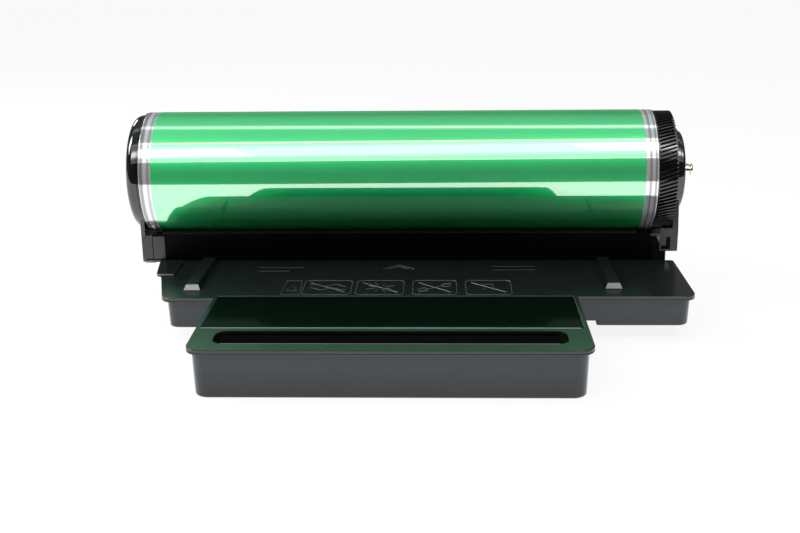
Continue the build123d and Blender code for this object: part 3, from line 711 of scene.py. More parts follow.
@dataclass
class DriveGear(Assembly):
    """Helical gear in one moulding with the right flange of the drum."""

    drum: Drum
    teeth: int = 91
    module: float = 0.6
    helix: float = 18.0
    pressure: float = 20.0
    thinning: float = 0.16
    root_clear: float = 0.3
    start: float = 124.9
    face_width: float = 8.6
    turns: int = 6
    rim_wall: float = 2.4
    recess: float = 3.0
    hub: float = 8.0
    bore: float = 3.55
    spokes: int = 8

    def pitch_radius(self) -> float:
        """Radius of the pitch circle."""
        return self.teeth * self.module / cos(radians(self.helix)) / 2

    def tooth(self) -> list[Point]:
        """Lay out one tooth and its root.

        Returns:
            Points of (angle, radius), from one root's middle to the next.
        """
        pitch = self.pitch_radius()
        base = pitch * cos(radians(self.pressure))
        tip = pitch + self.module
        root = pitch - self.module - self.root_clear * self.module

        def involute(r: float) -> float:
            """Angle of the involute at a radius."""
            ratio = min(1.0, base / r)
            return tan(acos(ratio)) - acos(ratio)

        half = pi / (2 * self.teeth) - self.thinning / (2 * pitch)
        radii = [max(base, root + 0.15), pitch, (pitch + tip) / 2, tip - 0.1]
        flank = [(half + involute(pitch) - involute(r), r) for r in radii]
        crown = (flank[-1][0] - 0.1 / tip, tip)
        foot = (flank[0][0] + 0.1 * pi / self.teeth, root)
        side = [(pi / self.teeth, root), foot, *flank, crown]
        return [(-a, r) for a, r in side] + [(a, r) for a, r in reversed(side)]

    def toothed(self) -> Form:
        """Make the ring of helical teeth, each spun and pushed along the axis, then repeated round it.

        Returns:
            The ring.
        """
        form = Form()
        inner = self.pitch_radius() - 3 * self.module
        profile = self.tooth()
        turn = -self.face_width * tan(radians(self.helix)) / self.pitch_radius()
        rim = [(profile[-1][0], inner), (profile[0][0], inner)]
        about = {"cent": (0, 0, 0), "axis": (1, 0, 0)}

        def at(a: float, r: float) -> tuple[float, float, float]:
            """Place of an angle and a radius on the ring's inner side."""
            return (self.start, r * cos(a), r * sin(a))

        wire = form.loop([at(a, r) for a, r in profile], closed=False)
        step = (self.face_width / self.turns, 0, 0)
        bmesh.ops.spin(form.bm, geom=wire, dvec=step, angle=turn, steps=self.turns, **about)
        end = form.bm.faces.new([form.bm.verts.new(at(a, r)) for a, r in profile + rim])
        copy = bmesh.ops.duplicate(form.bm, geom=[end, *end.verts, *end.edges])
        far = [g for g in copy["geom"] if isinstance(g, BMVert)]
        shift = Matrix.Translation((self.face_width, 0, 0)) @ Matrix.Rotation(turn, 4, "X")
        bmesh.ops.transform(form.bm, matrix=shift, verts=far)
        form.merge(1e-3)
        whole = form.bm.verts[:] + form.bm.edges[:] + form.bm.faces[:]
        others = self.teeth - 1
        round_all = tau * others / self.teeth
        bmesh.ops.spin(form.bm, geom=whole, angle=round_all, steps=others, use_duplicate=True, **about)
        form.merge(1e-3)
        return form

    def build(self) -> None:
        """Make the gear with its rim, web, spokes and hub."""
        h, outer = self.drum.half, self.drum.radius
        plug = outer - self.drum.film - self.drum.wall - 0.05
        end = self.start + self.face_width
        inner = self.pitch_radius() - 3 * self.module
        rim = inner - self.rim_wall
        web = end - self.recess
        body = [
            (h - 12.0, plug - 2.4), (h - 12.0, plug - 0.5), (h - 11.5, plug), (h, plug), (h, outer - 0.45),
            (h + 0.1, outer - 0.3), (h + 0.6, outer - 0.3), (h + 0.7, outer - 0.45), (h + 0.7, inner + 0.1),
            (end, inner + 0.1), (end, rim + 0.3), (end - 0.3, rim), (web, rim), (web, self.hub + 0.6),
            (web + 1.0, self.hub), (web + 1.0, self.bore + 0.4), (web + 0.6, self.bore),
            (h - 17.0, self.bore), (h - 17.0, self.hub), (web - 2.4, self.hub), (web - 2.4, plug - 2.4),
        ]
        form = self.toothed().add(Form().lathe(body, 182))
        form.ribs(self.spokes, (web - 0.1, web + 0.9), (self.hub - 0.5, rim + 0.5), 0.7, 0.5)
        self.piece(form, "drum_drive_gear", "gear black", ["drum_gear"], "drum", sharp=24.0)


@dataclass
class Axle(Assembly):
    """Steel shaft through the drum, its end turned down and grooved."""

    radius: float = 3.5
    journal: float = 3.0
    left: float = -129.4
    shoulder: float = 139.5
    reach: float = 146.0
    groove: float = 144.2
    groove_width: float = 0.6
    groove_cut: float = 0.6
    clip_groove: float = 132.1
    clip_width: float = 0.7
    edge: float = 0.06

    def build(self) -> None:
        """Make the shaft."""
        r, j, left, out, edge = self.radius, self.journal, self.left, self.reach, self.edge
        core, neck = r - self.groove_cut, j - self.groove_cut
        g, g_end = self.groove, self.groove + self.groove_width
        c, c_end = self.clip_groove, self.clip_groove + self.clip_width
        profile = [
            (left, 0.0), (left, r - 0.5), (left + 0.5, r), (c, r), (c, core), (c_end, core), (c_end, r),
            (self.shoulder - 0.1, r), (self.shoulder, j), (g - edge, j), (g, j - edge), (g, neck),
            (g_end, neck), (g_end, j - edge), (g_end + edge, j), (out - 0.55, j), (out - 0.2, j - 0.16),
            (out, j - 0.55), (out, 0.0),
        ]
        self.piece(Form().lathe(profile, 96), "axle", "ground steel", ["drum_shaft"])


# The end plates


@dataclass
class EndPlates(Assembly):
    """Bearing plates at both ends, with their arms and foot blocks."""

    front: float = -20.0
    rear: float = 23.5
    block_top: float = -28.0
    lid_bottom: float = -42.8
    tray_top: float = -53.5
    drop: float = 0.31
    cap_in: float = 125.4
    cap_out: float = 131.4
    cap_r: float = 28.5
    cap_round: float = 4.0
    boss_r: float = 19.5
    boss_round: float = 1.5
    plate_in: float = 133.9
    plate_out: float = 136.9
    boss_out: float = 139.1
    step: float = -36.3
    cover_in: float = 124.5
    cover_out: float = 131.3
    cover_t: float = 1.8
    left_screws: tuple[Point, ...] = ((-16.6, -32.4), (20.0, -43.0))
    left_foot: Point = (-127.5, -122.0)
    left_sill: Point = (-126.2, -118.4)
    left_guard: Point = (-121.8, -115.9)
    right_foot: Point = (128.0, 135.2)
    right_finger: Point = (123.4, 127.6)

    def slope(self, y: float) -> float:
        """Height of the sloped underside of the left end."""
        return self.lid_bottom + 1.3 - self.drop * (y - self.front)

    def left(self) -> None:
        """Make the domed cap with its ribbed face, arm and foot block."""
        r, out, inside = self.cap_r, -self.cap_out, -self.cap_in
        dome = [(out + self.cap_round * x, r - self.cap_round * drop) for x, drop in arc(9, 11.25)][1:]
        well = r - self.cap_round
        profile = [
            (inside, 8.0), (inside, r - 0.2), (inside - 0.2, r), *reversed(dome), (out, well - 1.4),
            (out + 0.3, well - 1.7), (out + 1.1, well - 1.8), (out + 1.1, 11.4), (out + 0.3, 11.2),
            (out, 10.9), (out, 5.2), (out + 0.4, 4.8), (out + 0.4, 3.8), (out + 2.0, SHAFT_BORE),
            (inside, SHAFT_BORE),
        ]
        form = Form().lathe(profile)
        form.ribs(10, (out + 0.25, out + 1.6), (11.0, well - 1.5), 0.6)
        arm = [
            (self.front, self.block_top + 9.0), (self.front, self.slope(self.front)),
            (self.rear, self.slope(self.rear)), (self.rear, self.block_top), (r * 0.78, -r * 0.6),
            (r * 0.3, 0.0), (-r * 0.3, 0.0), (-r * 0.68, -r * 0.68),
        ]
        plate = Form()
        plate.prism(Lie.ACROSS, arm, [0, 0.8, 1.5, 1.5, 0, 0, 0, 0], inside - 2.2, inside)
        form.add(plate.softened(0.3, 3))
        self.piece(form, "left_bearing_plate", "gloss black", ["left_end_plate"])
        low, front = self.slope(self.front) + 1.6, self.front - 0.3
        foot = Form().block(self.left_foot, (front, self.front + 2.2), (low, self.block_top))
        foot.softened(0.35, 3)
        sill = Form().block(self.left_sill, (front, self.front + 3.0), (low - 1.1, low - 0.35))
        foot.add(sill.softened(0.2))
        heights = (low + 0.2, self.block_top - 0.2)
        foot.add(Form().block(self.left_guard, (self.front - 0.48, self.front), heights).softened(0.15))
        self.piece(foot, "left_foot_block", "housing black painted lit")
        screws = Form()
        for place in self.left_screws:
            screws.disc(inside - 2.3, inside - 1.1, 2.9, place)
            screws.disc(inside - 1.2, -118.6, 1.4, place)
        self.piece(screws, "left_arm_screws", "screw black", ["left_plate_screws"])

    def right(self) -> None:
        """Make the boss with its rounded rim, the arm, the foot block and the cover of the small gears."""
        r, flat, plate, out = self.boss_r, self.plate_in, self.plate_out, self.boss_out
        profile = [
            (flat - 1.0, SHAFT_BORE), (flat - 1.0, 8.0), (flat, 8.0), (flat, r + 1.3), (flat + 0.2, r + 1.5),
            (plate - 0.5, r + 1.5), (plate - 0.1, r + 1.3), (plate, r + 0.9), (plate, r),
            *[(out - self.boss_round * x, r - self.boss_round * drop) for drop, x in arc(7, 15)],
            (out, 14.6), (out - 0.2, 14.3), (out - 1.0, 14.2), (out - 1.0, 7.4), (out - 0.2, 7.3),
            (out, 7.0), (out, 3.8), (out - 0.3, SHAFT_BORE),
        ]
        form = Form().lathe(profile)
        form.ribs(6, (out - 1.6, out - 0.2), (7.2, 14.4), 0.6)
        depth = (self.front, self.rear)
        arm = [(self.front, -26.0), (self.front, self.step), (self.rear, self.step), (self.rear, -26.0)]
        arm += [(r * 0.9, -r * 0.5), (-r * 0.9, -r * 0.5)]
        side = Form()
        side.prism(Lie.ACROSS, arm, [0.6, 0.4, 1.5, 1.5, 0, 0], flat, plate)
        form.add(side.softened(0.35, 3))
        cover, shelf_top, face = self.cover_out - self.cover_t, self.step + 2.4, self.front + 1.6
        for x, y, z in (
            ((cover, plate), depth, (self.step, shelf_top)),
            ((cover, self.cover_out), depth, (self.tray_top, shelf_top)),
            ((self.cover_in, self.cover_out), (self.front + 0.02, face), (self.tray_top, shelf_top)),
            ((self.cover_in, 128.3), (self.front, face), (self.step, self.step + 9.0)),
        ):
            form.add(Form().block(x, y, z).softened(0.3, 3))
        self.piece(form, "right_bearing_plate", "gloss black", ["right_end_plate"])
        block = Form().block(self.right_foot, (self.front - 0.2, face), (self.step, -24.7)).softened(0.3)
        finger = Form().block(self.right_finger, (self.front - 0.4, self.front + 1.2), (-28.7, -27.2))
        block.add(finger.softened(0.3))
        # The slanted strip up the arm's front edge is a painted highlight in the lit grey
        near, low = self.front - 0.22, self.step + 0.1
        strip = [(near, low), (near + 0.8, low), (near + 0.8, -26.5), (-17.2, -11.5), (-17.9, -11.5)]
        edge = Form()
        edge.prism(Lie.ACROSS, [*strip, (near, -26.5)], [0], flat + 0.1, plate - 0.1)
        block.add(edge.softened(0.15))
        self.piece(block, "right_foot_block", "housing black painted lit")
        # A flat black hook laid on the block's face is painted shade, standing for the shade in an L-shaped
        # recess
        hook = [(129.0, -35.2), (133.2, -35.2), (133.2, -29.0)]
        hook += [(131.2, -29.0), (131.2, -33.4), (129.0, -33.4)]
        recess = Form()
        recess.prism(Lie.UPRIGHT, hook, [0], self.front - 0.23, self.front + 0.1)
        self.piece(recess, "right_block_recess_shade", "housing black")

    def build(self) -> None:
        """Make both plates."""
        self.left()
        self.right()


# The waste container


@dataclass
class WasteContainer(Assembly):
    """Tub with its lid: handle box, wings, label field, finger slot, ridges and moulded marks."""

    lid_top: float = -40.7
    lid_t: float = 2.1
    lip: float = 2.0
    ground: float = -62.2
    handle_front: float = -143.0
    handle_left: float = -81.4
    handle_right: float = 82.3
    handle_back: float = -62.0
    wing_front_left: float = -79.0
    wing_front_right: float = -76.5
    wing_depth: float = 14.8
    left_front: float = -104.5
    left_rear: float = -118.9
    tub_left: float = -103.4
    right: float = 135.2
    rear: float = -20.3
    slot: tuple[float, float, float, float] = (-71.55, 72.45, -135.1, -120.6)
    slot_depth: float = 15.0
    slot_round: float = 4.6
    label: tuple[float, float, float, float] = (-79.4, 80.3, -117.3, -75.9)
    label_rounds: tuple[float, ...] = (0.3, 1.2, 1.2, 0.3)
    edge_round: float = 0.55
    ridge_h: float = 2.8
    ridge_lean: float = 2.1
    ridge_sink: float = 0.3
    ridge_rear: float = -24.0
    ridge_fronts: tuple[Point, ...] = ((-93.1, -68.4), (99.7, -66.5))
    latch_places: tuple[Point, ...] = ((-56.2, -35.4), (55.9, -33.9))
    latch_half: Point = (11.0, 2.8)
    tab_half: Point = (9.5, 1.2)
    notch: tuple[float, float, float, float] = (118.7, 124.5, -38.6, -37.4)
    pad: tuple[Point, ...] = ((-118.4, -21.3), (-114.9, -45.4), (-106.0, -45.4), (-106.0, -21.3))
    pad_rounds: tuple[float, ...] = (0.4, 2.6, 1.0, 0.4)
    step_depth: float = 12.6
    tray: Point = (-114.0, 131.3)
    tray_rear: float = 26.5
    tray_top: float = -53.5
    runners: Point = (-88.0, 88.0)
    runner_half: float = 3.0
    runner_rear: float = 24.5

    def flat(self, points: Sequence[Point], rounds: Sequence[float], low: float, high: float) -> Form:
        """Level plate.

        Args:
            points: Its corners.
            rounds: Radius of each corner, or one for all of them.
            low: Where it starts, above the lid's top.
            high: Where it ends, above the lid's top.

        Returns:
            The form.
        """
        form = Form()
        form.prism(Lie.LEVEL, points, rounds, self.lid_top + low, self.lid_top + high)
        return form

    def outline(self, grow: float) -> tuple[list[Point], list[float]]:
        """Corners of the lid.

        Args:
            grow: How far its sides are moved out.

        Returns:
            The corners and their radii.
        """
        g = grow
        left, right, front = self.handle_left - g, self.handle_right + g, self.handle_front - g
        wing_left, wing_right = self.wing_front_left - g, self.wing_front_right - g
        points = [
            (self.left_rear - g, self.rear + g), (self.left_front - g, wing_left), (left, wing_left),
            (left, front), (right, front), (right, wing_right), (self.right + g, wing_right),
            (self.right + g, self.rear + g),
        ]
        corners = ((0, 0), (5, 1), (0.4, 0), (7, 1), (7, 1), (0.4, 0), (6, 1), (1.5, 1))
        return points, [max(0.0, r + k * g) for r, k in corners]

    def skirt(self) -> None:
        """Make the side of the lid, a band with the lid's rounding in a lighter grey that is painted light,
        and a black band in it that is a painted shadow line under the lid's edge.
        """
        band = self.flat(*self.outline(-0.04), -0.03, -self.lid_t + 0.03)
        band.rim(self.lid_top - 0.04, self.edge_round - 0.03)
        groove = self.flat(*self.outline(0.0), -1.35, -1.6)
        for ring, name, finish in ((band, "lid_skirt", "lid black painted lit"), (groove, "lid_shadow_line", "housing black")):
            inner = self.flat(*self.outline(-1.1), 1.0, -self.lid_t - 1.0)
            self.piece(ring.joined(inner), name, finish)

    def lid(self) -> None:
        """Make the lid with its pocket, recesses and ridges, and the label field."""
        form = self.flat(*self.outline(-0.08), 0.0, -self.lid_t)
        form.rim(self.lid_top - 0.01, self.edge_round)
        form.joined(self.flat(rectangle(*self.label), self.label_rounds, -0.4, 2.0))
        radius, wall = self.slot_round, 1.6
        form.joined(self.flat(rectangle(*self.slot), [radius], -8.0, 2.0))
        (w, d), (tab_w, tab_d) = self.latch_half, self.tab_half
        for x, y in self.latch_places:
            recess = self.flat(rectangle(x - w, x + w, y - d, y + d), [0], -0.9, 2.0)
            tab = rectangle(x - tab_w, x + tab_w, y - tab_d, y + tab_d)
            form.joined(recess.joined(self.flat(tab, [0], -2.0, 3.0)))
        form.joined(self.flat(rectangle(*self.notch), [0.4], -0.9, 1.0))
        form.softened(0.16, 2, 50.0)
        for x, front in self.ridge_fronts:
            form.add(self.ridge(x, front))
        form.add(self.flat(self.pad, self.pad_rounds, -0.7, 0.7).softened(0.25, 3))
        pocket = self.flat(rectangle(*self.slot, wall), [radius + wall], -self.slot_depth - wall, -1.2)
        form.add(pocket.joined(self.flat(rectangle(*self.slot), [radius], -self.slot_depth, 1.0)))
        self.piece(form, "container_lid", "lid black", ["waste_lid"])
        field = self.flat(rectangle(*self.label, -0.2), self.label_rounds, -0.45, -0.3)
        self.piece(field, "label_field", "label field")

    def ridge(self, x: float, front: float) -> Form:
        """Make a guide ridge, wider at the foot, its end towards the handle leaning back.

        Args:
            x: Its middle.
            front: Its end towards the handle.

        Returns:
            The form.
        """
        form = Form()
        low, high = self.lid_top - self.ridge_sink, self.lid_top + self.ridge_h
        corners = [(x - 4.1, low), (x + 4.1, low), (x + 2.75, high), (x - 2.75, high)]
        for vert in form.prism(Lie.UPRIGHT, corners, [0], self.ridge_rear, front):
            if vert.co.z > low + 1:
                vert.co.y += self.ridge_lean
        return form.softened(0.2, 2, 50.0)

    def ridge_end(self, x: float, front: float) -> Form:
        """Make the light facing on the leaning end of a ridge, a little smaller than the end; its colour is a
        painted highlight.

        Args:
            x: The ridge's middle.
            front: The ridge's end towards the handle.

        Returns:
            The form.
        """
        form = Form()
        low, high = self.lid_top + 0.35, self.lid_top + (self.ridge_h - 0.35)
        corners = [(x - 3.75, low), (x + 3.75, low), (x + 2.8, high), (x - 2.8, high)]
        form.prism(Lie.UPRIGHT, corners, [0], front + 0.4, front - 0.06)
        for vert in form.bm.verts:
            rise = vert.co.z - self.lid_top + self.ridge_sink
            vert.co.y += self.ridge_lean * rise / (self.ridge_h + self.ridge_sink)
        return form

    def facings(self) -> None:
        """Make the painted highlights: light facings on the ridges' leaning ends, and light strips on the
        front edges of the label field, the finger slot and the pad, and on a short edge by the left foot
        block.
        """
        ends = Form()
        for x, front in self.ridge_fronts:
            ends.add(self.ridge_end(x, front))
        self.piece(ends, "ridge_end_highlights", "painted highlight grey")
        x0, x1, y0, _ = self.label
        z = self.lid_top
        edge = Form().block((x0 + 0.3, x1 - 1.4), (y0 - 0.12, y0 + 0.22), (z - 0.3, z + 0.14))
        self.piece(edge, "label_edge_highlight", "painted edge highlight")
        rims = Form()
        s0, s1, front, _ = self.slot
        rims.block((s0 + 4.0, s1 - 4.0), (front - 0.28, front + 0.02), (z - 0.4, z + 0.03))
        rims.block((-114.3, -106.6), (-45.6, -45.1), (z + 0.25, z + 0.73))
        rims.block((-126.0, -121.2), (-20.5, -20.1), (z - 1.1, z - 0.75))
        self.piece(rims, "rim_highlights", "painted highlight grey")

    def markings(self) -> None:
        """Make the raised marks, bead round the label field, arrow and a row of plain frames, in a lighter
        grey that is a painted highlight, and light beads along the edges of the latch recesses, painted
        highlights too.
        """
        x0, x1, y0, y1 = self.label
        lines: list[Line] = [
            ([(x1, y0 + 1.2), (x1, y1), (x0, y1)], False),
            ([(-6.9, -35.0), (0.9, -28.3), (8.3, -35.0)], False),
            ([(-4.2, -35.2), (0.9, -30.8), (5.6, -35.2)], False),
            ([(-51.6, -73.4), (-42.9, -73.4), (-43.8, -53.4), (-50.9, -53.4)], True),
            ([(-49.8, -68.0), (-47.3, -60.0), (-44.8, -68.0)], True),
        ]
        latches = ((-67.2, -45.2, -32.7), (-67.2, -52.0, -38.1), (45.5, 66.4, -31.1), (45.5, 66.4, -36.6))
        row = ((-42.1, -20.0), (-17.7, 4.0), (8.2, 28.3), (32.5, 53.3))
        for index, (left, right) in enumerate(row):
            lines.append((self.frame(left, right), True))
            lines += self.motif(index, (left + right) / 2, (right - left) / 2 - 2.6)
        self.piece(self.beads(lines, 0.17), "lid_marks", "marking_painted_light", level=False)
        edges = [([(left, y), (right, y)], False) for left, right, y in latches]
        self.piece(self.beads(edges, 0.13), "latch_edge_highlights", "lid black painted lit", level=False)

    def beads(self, lines: list[Line], radius: float) -> Form:
        """Make round beads along lines on the lid.

        Args:
            lines: Points of each line and whether it is closed.
            radius: Radius of the beads.

        Returns:
            The form.
        """
        curve = bpy.data.curves.new("marks", "CURVE")
        curve.dimensions = "3D"
        curve.bevel_depth = radius
        curve.bevel_resolution = 1
        for points, closed in lines:
            spline = curve.splines.new("POLY")
            spline.points.add(len(points) - 1)
            for target, (x, y) in zip(spline.points, points):
                target.co = (x, y, self.lid_top - 0.02, 1.0)
            spline.use_cyclic_u = closed
        holder = bpy.data.objects.new("marks", curve)
        mesh = bpy.data.meshes.new_from_object(holder)
        bpy.data.objects.remove(holder)
        form = Form()
        form.bm.from_mesh(mesh)
        bpy.data.meshes.remove(mesh)
        return form

    @staticmethod
    def frame(left: float, right: float) -> list[Point]:
        """Corners of one frame of the row, cut off by c."""
        front, back, c = -73.6, -53.0, 1.5
        near = [(left + c, front), (right - c, front), (right, front + c), (right, back - c)]
        return near + [(right - c, back), (left + c, back), (left, back - c), (left, front + c)]

    @staticmethod
    def motif(index: int, x: float, half: float, y: float = -63.3, tall: float = 7.0) -> list[Line]:
        """Draw the plain motif of one frame: a few rays, waves or bars, and a slanted line.

        Args:
            index: Which motif.
            x: The frame's middle.
            half: Half the width that the motif fills.
            y: The row's middle.
            tall: Half the height that the motif fills.

        Returns:
            Its lines.
        """

        def spot(radius: float, a: float, u: float = 0.0, v: float = 0.0) -> Point:
            """Point on a circle whose centre is (u, v) from the frame's."""
            return (x + u + radius * cos(a), y + v + radius * sin(a))

        lines: list[Line] = [([(x - half, y + tall), (x + half, y - tall)], False)]
        if index == 0:
            for k in range(2):
                heights = [y + 3.0 - 5.0 * k + 1.6 * sin(i * 1.1 + k) for i in range(11)]
                lines.append(([(x - half + i * half / 5, v) for i, v in enumerate(heights)], False))
        elif index == 1:
            for k in range(8):
                a = tau * (k + 0.5) / 8
                lines.append(([spot(2.6, a), spot(5.6 if k % 2 else tall, a)], False))
        elif index == 2:
            lines.append(([(x - half, y - tall), (x + half, y + tall)], False))
            for k in (-1, 1):
                lines.append(([spot(2.2, tau * i / 12, k * 5.2, k * 3.2) for i in range(12)], True))
        else:
            for k in (-2.2, 2.2):
                lines.append(([(x + k, y - 4.5), (x + k, y + 4.5)], False))
            lines.append(([(x - 2.2, y + 4.5), (x + 2.2, y + 4.5)], False))
        return lines

    def shell(self, x: Point, y: Point, floor: float, rounds: Sequence[float], draft: float = 0.4) -> Form:
        """Make a closed drafted box with rounded corners, under the lid.

        Args:
            x: Its left and right sides at the top.
            y: Its front and rear at the top.
            floor: Height of its underside.
            rounds: Radii of the front left, front right, rear right and rear left corners.
            draft: How far each side leans in at the floor.

        Returns:
            The form.
        """
        form = Form()
        far = form.prism(Lie.LEVEL, rectangle(*x, *y), rounds, self.lid_top - self.lid_t, floor)
        middle = (x[0] + x[1]) / 2
        for vert in far:
            vert.co.x = middle + (vert.co.x - middle) * (1 - 2 * draft / (x[1] - x[0]))
            vert.co.y = y[1] + (vert.co.y - y[1]) * (1 - draft / (y[1] - y[0]))
        form.rim(floor + 0.01, 1.6, -1)
        return form

    def tub(self) -> None:
        """Make the tub: handle box, wings with their deeper parts, tray and runners."""
        lip, rear, wall = self.lip, self.rear - 1.2, 1.8
        wing_floor, step = self.lid_top - self.wing_depth, self.lid_top - self.step_depth
        left, right = self.handle_left + lip, self.right - lip
        front_left, front_right = self.wing_front_left + lip, self.wing_front_right + lip
        handle_y = (self.handle_front + lip, self.handle_back)
        form = self.shell((left, self.handle_right - lip), handle_y, self.ground, [6.0, 6.0, 1.0, 1.0], 0.5)
        well_low = -self.slot_depth - wall - 0.4
        form.joined(self.flat(rectangle(*self.slot, wall), [self.slot_round + wall], well_low, 0.0))
        for x, front, floor, rounds in (
            ((self.tub_left, right), front_right, step, [5.0, 5.0, 1, 1]),
            ((self.tub_left, left + 1.0), front_left, wing_floor, [5.0, 0.6, 1, 1]),
            ((self.handle_right + 8.5, right), front_right, wing_floor, [1.0, 5.0, 1, 1]),
        ):
            form.add(self.shell(x, (front, rear), floor, rounds))
        tray = Form().block(self.tray, (rear - 1.0, self.tray_rear), (wing_floor, self.tray_top))
        form.add(tray.softened(0.3))
        for x in self.runners:
            sides = (x - self.runner_half, x + self.runner_half)
            runner = Form().block(sides, (rear, self.runner_rear), (self.ground, wing_floor))
            form.add(runner.softened(0.4, 3))
        self.piece(form, "container_tub", "tub grey", ["waste_tub"])

    def build(self) -> None:
        """Make the lid, its marks and the tub."""
        for make in (self.lid, self.skirt, self.facings, self.markings, self.tub):
            make()


# The rest of the frame keeps its own shapes


@dataclass
class Inside(Assembly):
    """Nodes whose shapes stay, by the finish of the real piece."""

    nodes: dict[str, bpy.types.Object]
    finished: tuple[tuple[str, str], ...] = (
        ("gear black", "left_flange"),
        ("bronze strip", "grounding_plate charge_contact"),
        ("spring wire", "shaft_clip left_bearing_spring right_bearing_spring"),
        ("zinc plate", "right_plate_screws blade_bracket blade_screws"),
        ("housing black", "cleaning_housing pad_holder"),
        ("urethane", "cleaning_blade"),
        ("film", "toner_catch_film"),
        ("foam", "left_blade_seal right_blade_seal auger_shaft_seal roller_cleaning_pad waste_port_seal"),
        ("acetal", "waste_auger auger_gear idler_gear left_roller_bearing right_roller_bearing"),
        ("ground steel", "idler_pin charge_roller_core"),
        ("roller rubber", "charge_roller_sleeve"),
    )

    def build(self) -> None:
        """Give each node its finish."""
        for finish, names in self.finished:
            for name in names.split():
                self.finishes.put(self.nodes[name], finish)
                LOG.info("%s keeps its shape, finished as %s", name, finish)


# Studio


def area_lamp(
    name: str, size: Point, radiance: float, place: Vector, turn: Quaternion, colour: Colour = (1.0, 1.0, 1.0)
) -> None:
    """Place one lamp that the camera doesn't see.

    Args:
        name: Its name.
        size: Its width and height in metres.
        radiance: How bright it looks, where 1 is white.
        place: Its middle, in metres of the part's frame.
        turn: Its turn; it shines along its own -z.
        colour: Its colour.
    """
    light = bpy.data.lights.new(name, "AREA")
    light.shape = "RECTANGLE"
    light.size, light.size_y = size
    light.energy = radiance * size[0] * size[1] * pi
    light.color = colour
    lamp = linked(name, light)
    lamp.location = place
    lamp.rotation_mode = "QUATERNION"
    lamp.rotation_quaternion = turn
    lamp.visible_camera = False


@dataclass
class Lamp:
    """Soft lamp along the drum, seen in the drum at a given elevation."""

    name: str
    elevation: float
    spread: float
    radiance: float
    length: float = 1.1
    distance: float = 0.71
    tilt: float = 6.0
    shift: float = -0.03
    colour: Colour = (1.0, 1.0, 1.0)

    def build(self) -> None:
        """Place the lamp, facing the drum's axis; spread is its height in degrees as the drum sees it."""
        height = 2 * self.distance * tan(radians(self.spread) / 2)
        a = radians(self.elevation)
        out = Vector((0, -cos(a), sin(a)))
        along = Vector((1, 0, 0))
        basis = Matrix((along, out.cross(along), out)).transposed()
        turn = (Matrix.Rotation(radians(self.tilt), 3, out) @ basis).to_quaternion()
        place = AXIS_AT * MM + out * self.distance + Vector((self.shift, 0, 0))
        area_lamp(self.name, (self.length, height), self.radiance, place, turn, self.colour)


@dataclass
class Window:
    """Small bright window that the glossy end caps show, facing one of them."""

    name: str
    place: tuple[float, float, float]
    size: Point
    radiance: float
    target: tuple[float, float, float] = (-0.13, 0.05, 0.07)

    def build(self) -> None:
        """Place the window."""
        turn = (Vector(self.place) - Vector(self.target)).to_track_quat("Z", "Y")
        area_lamp(self.name, self.size, self.radiance, self.place, turn)


# What the drum and the caps show of the lamps gives their places
LAMPS = (
    Lamp("softbox", 50.0, 36.5, 1.0, distance=0.72),
    Lamp("softbox middle", 51.5, 24.0, 0.35, distance=0.715, tilt=10.0),
    Lamp("softbox core", 51.5, 16.0, 0.6, tilt=12.0),
    Lamp("left core", 45.5, 14.0, 3.0, 0.34, 0.70, 9.0, -0.36),
    Lamp("left heart", 45.5, 9.0, 5.0, 0.22, 0.69, 9.0, -0.38),
    Lamp("right core", 57.5, 14.0, 3.0, 0.34, 0.70, 9.0, 0.34),
    Lamp("right heart", 57.5, 9.0, 5.0, 0.22, 0.69, 9.0, 0.36),
    Lamp("softbox top edge", 68.6, 3.2, 1.9, colour=(1.0, 0.95, 0.38)),
    Lamp("softbox low edge", 32.6, 1.4, 1.0, colour=(1.0, 0.97, 0.60)),
    Lamp("top strip", 102.0, 5.0, 1.1, 1.5, 0.9, -5.0),
    Lamp("top strip glow", 102.0, 12.0, 0.4, 1.5, 0.91, -5.0),
    Window("left window", (-0.58, 0.02, 0.46), (0.20, 0.30), 14.0),
    Window("back window", (-0.54, 0.65, 0.47), (0.20, 0.20), 8.0),
)


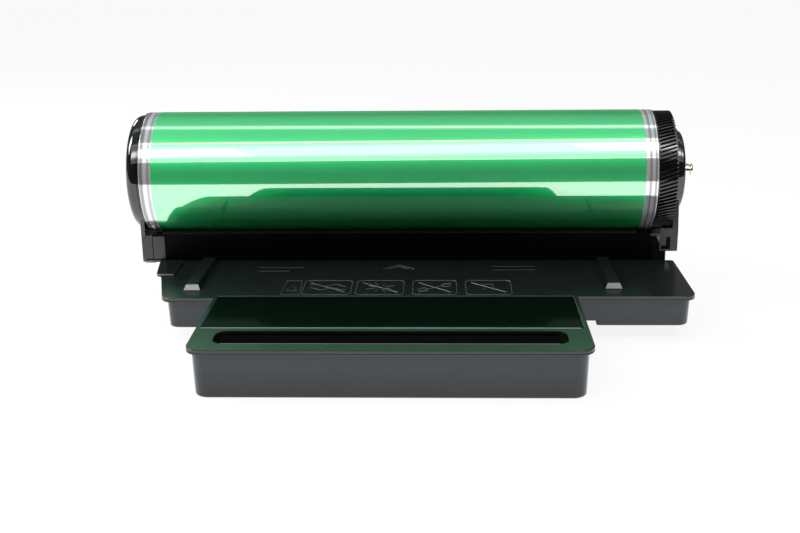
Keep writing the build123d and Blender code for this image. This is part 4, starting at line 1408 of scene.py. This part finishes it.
@dataclass
class Studio:
    """Floor, world, lamps and camera."""

    front_edge: tuple[Point, ...] = ((-3.0, -0.25), (-0.15, -0.27), (0.2, -0.37), (3.0, -0.4))
    floor_at: float = -0.0002
    floor_glow: float = 0.88
    eye: tuple[float, float, float] = (0.01381, -0.50686, 0.18649)
    yaw_pitch_roll: tuple[float, float, float] = (-2.140, 17.204, -0.7006)
    lens: float = 51.585

    @staticmethod
    def rays(paint: Paint) -> list[Wire]:
        """1 or 0 for a ray of the camera, one off a mirror and one through glass."""
        camera = paint.node("ShaderNodeLightPath", {}, {}, "Is Camera Ray")
        return [camera, camera.beside("Is Glossy Ray"), camera.beside("Is Transmission Ray")]

    def floor(self) -> None:
        """Make the pale floor that keeps the object's shadow and shows white where nothing shades it."""
        form = Form()
        corners = [*self.front_edge, (3.0, 4.0), (-3.0, 4.0)]
        form.bm.faces.new([form.bm.verts.new((x, y, self.floor_at)) for x, y in corners])
        floor = linked("floor", form.mesh("floor"))
        material, paint = new_material("floor")
        camera, glossy, clear = self.rays(paint)
        seen = camera.maths("MAXIMUM", camera, camera.maths("MAXIMUM", glossy, clear))
        matt = paint.node("ShaderNodeBsdfDiffuse", {}, {"Color": (0.82, 0.82, 0.82)})
        glow = paint.node("ShaderNodeEmission", {}, {"Color": (1, 1, 1), "Strength": camera * -0.62 + 1.62})
        both = paint.node("ShaderNodeMixShader", {}, {0: seen * self.floor_glow, 1: matt, 2: glow})
        paint.node("ShaderNodeOutputMaterial", {}, {0: both})
        floor.data.materials.append(material)

    def world(self) -> None:
        """Make the background: white, and for mirrors a dim room, lighter overhead and behind."""
        world = bpy.data.worlds.new("studio")
        bpy.context.scene.world = world
        world.use_nodes = True
        paint = Paint(world.node_tree)
        camera, glossy, clear = self.rays(paint)
        aside, back, up = paint.parts(paint.node("ShaderNodeTexCoord", {}, {}, "Generated"))
        low = 1 - up.between(0.2, 0.55)
        beside = aside.maths("ABSOLUTE", aside).between(0.7, 0.95) * low
        behind = back.between(0.0, 0.4) * low
        overhead = up.between(0.4, 0.9)
        mirrored = beside * 0.10 + behind * 0.14 + overhead * 0.27 + 0.075
        leftward = 1 - aside.between(-1.0, 1.0)
        scattered = (up.between(-0.1, 0.95) * 0.80 + 0.04) * (leftward * 0.5 + 0.75)
        level = camera + (1 - camera) * (clear + (1 - clear) * (glossy * mirrored + (1 - glossy) * scattered))
        tint = paint.blend(overhead * glossy, (1.0, 1.0, 1.0), (0.72, 1.0, 0.92))
        background = paint.node("ShaderNodeBackground", {}, {"Color": tint, "Strength": level})
        paint.node("ShaderNodeOutputWorld", {}, {0: background})

    def camera(self) -> None:
        """Place the camera that was solved from the photograph."""
        yaw, pitch, roll = (radians(a) for a in self.yaw_pitch_roll)
        ahead = Vector((sin(yaw) * cos(pitch), cos(yaw) * cos(pitch), -sin(pitch)))
        right = Vector((cos(yaw), -sin(yaw), 0))
        up = right.cross(ahead)
        level = right * cos(roll) + up * sin(roll)
        upright = up * cos(roll) - right * sin(roll)
        data = bpy.data.cameras.new("camera")
        data.sensor_fit = "HORIZONTAL"
        data.sensor_width = 36.0
        data.lens = self.lens
        data.clip_start, data.clip_end = 0.01, 20.0
        camera = linked("camera", data)
        camera.rotation_mode = "QUATERNION"
        camera.rotation_quaternion = Matrix((level, upright, -ahead)).transposed().to_quaternion()
        camera.location = self.eye
        bpy.context.scene.camera = camera

    def build(self) -> None:
        """Set up the whole studio."""
        self.camera()
        self.floor()
        self.world()
        for lamp in LAMPS:
            lamp.build()
        bpy.context.scene.view_settings.view_transform = "Standard"


def main() -> None:
    """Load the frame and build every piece."""
    logging.basicConfig(level=logging.INFO, format="%(name)s %(message)s")
    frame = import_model()
    Studio().build()
    finishes = Finishes()
    drum = Drum(finishes)
    parts = (drum, DriveGear(finishes, drum), Axle(finishes), EndPlates(finishes), WasteContainer(finishes))
    for part in (*parts, Inside(finishes, frame["nodes"])):
        part.build()


if __name__ == "__main__":
    main()
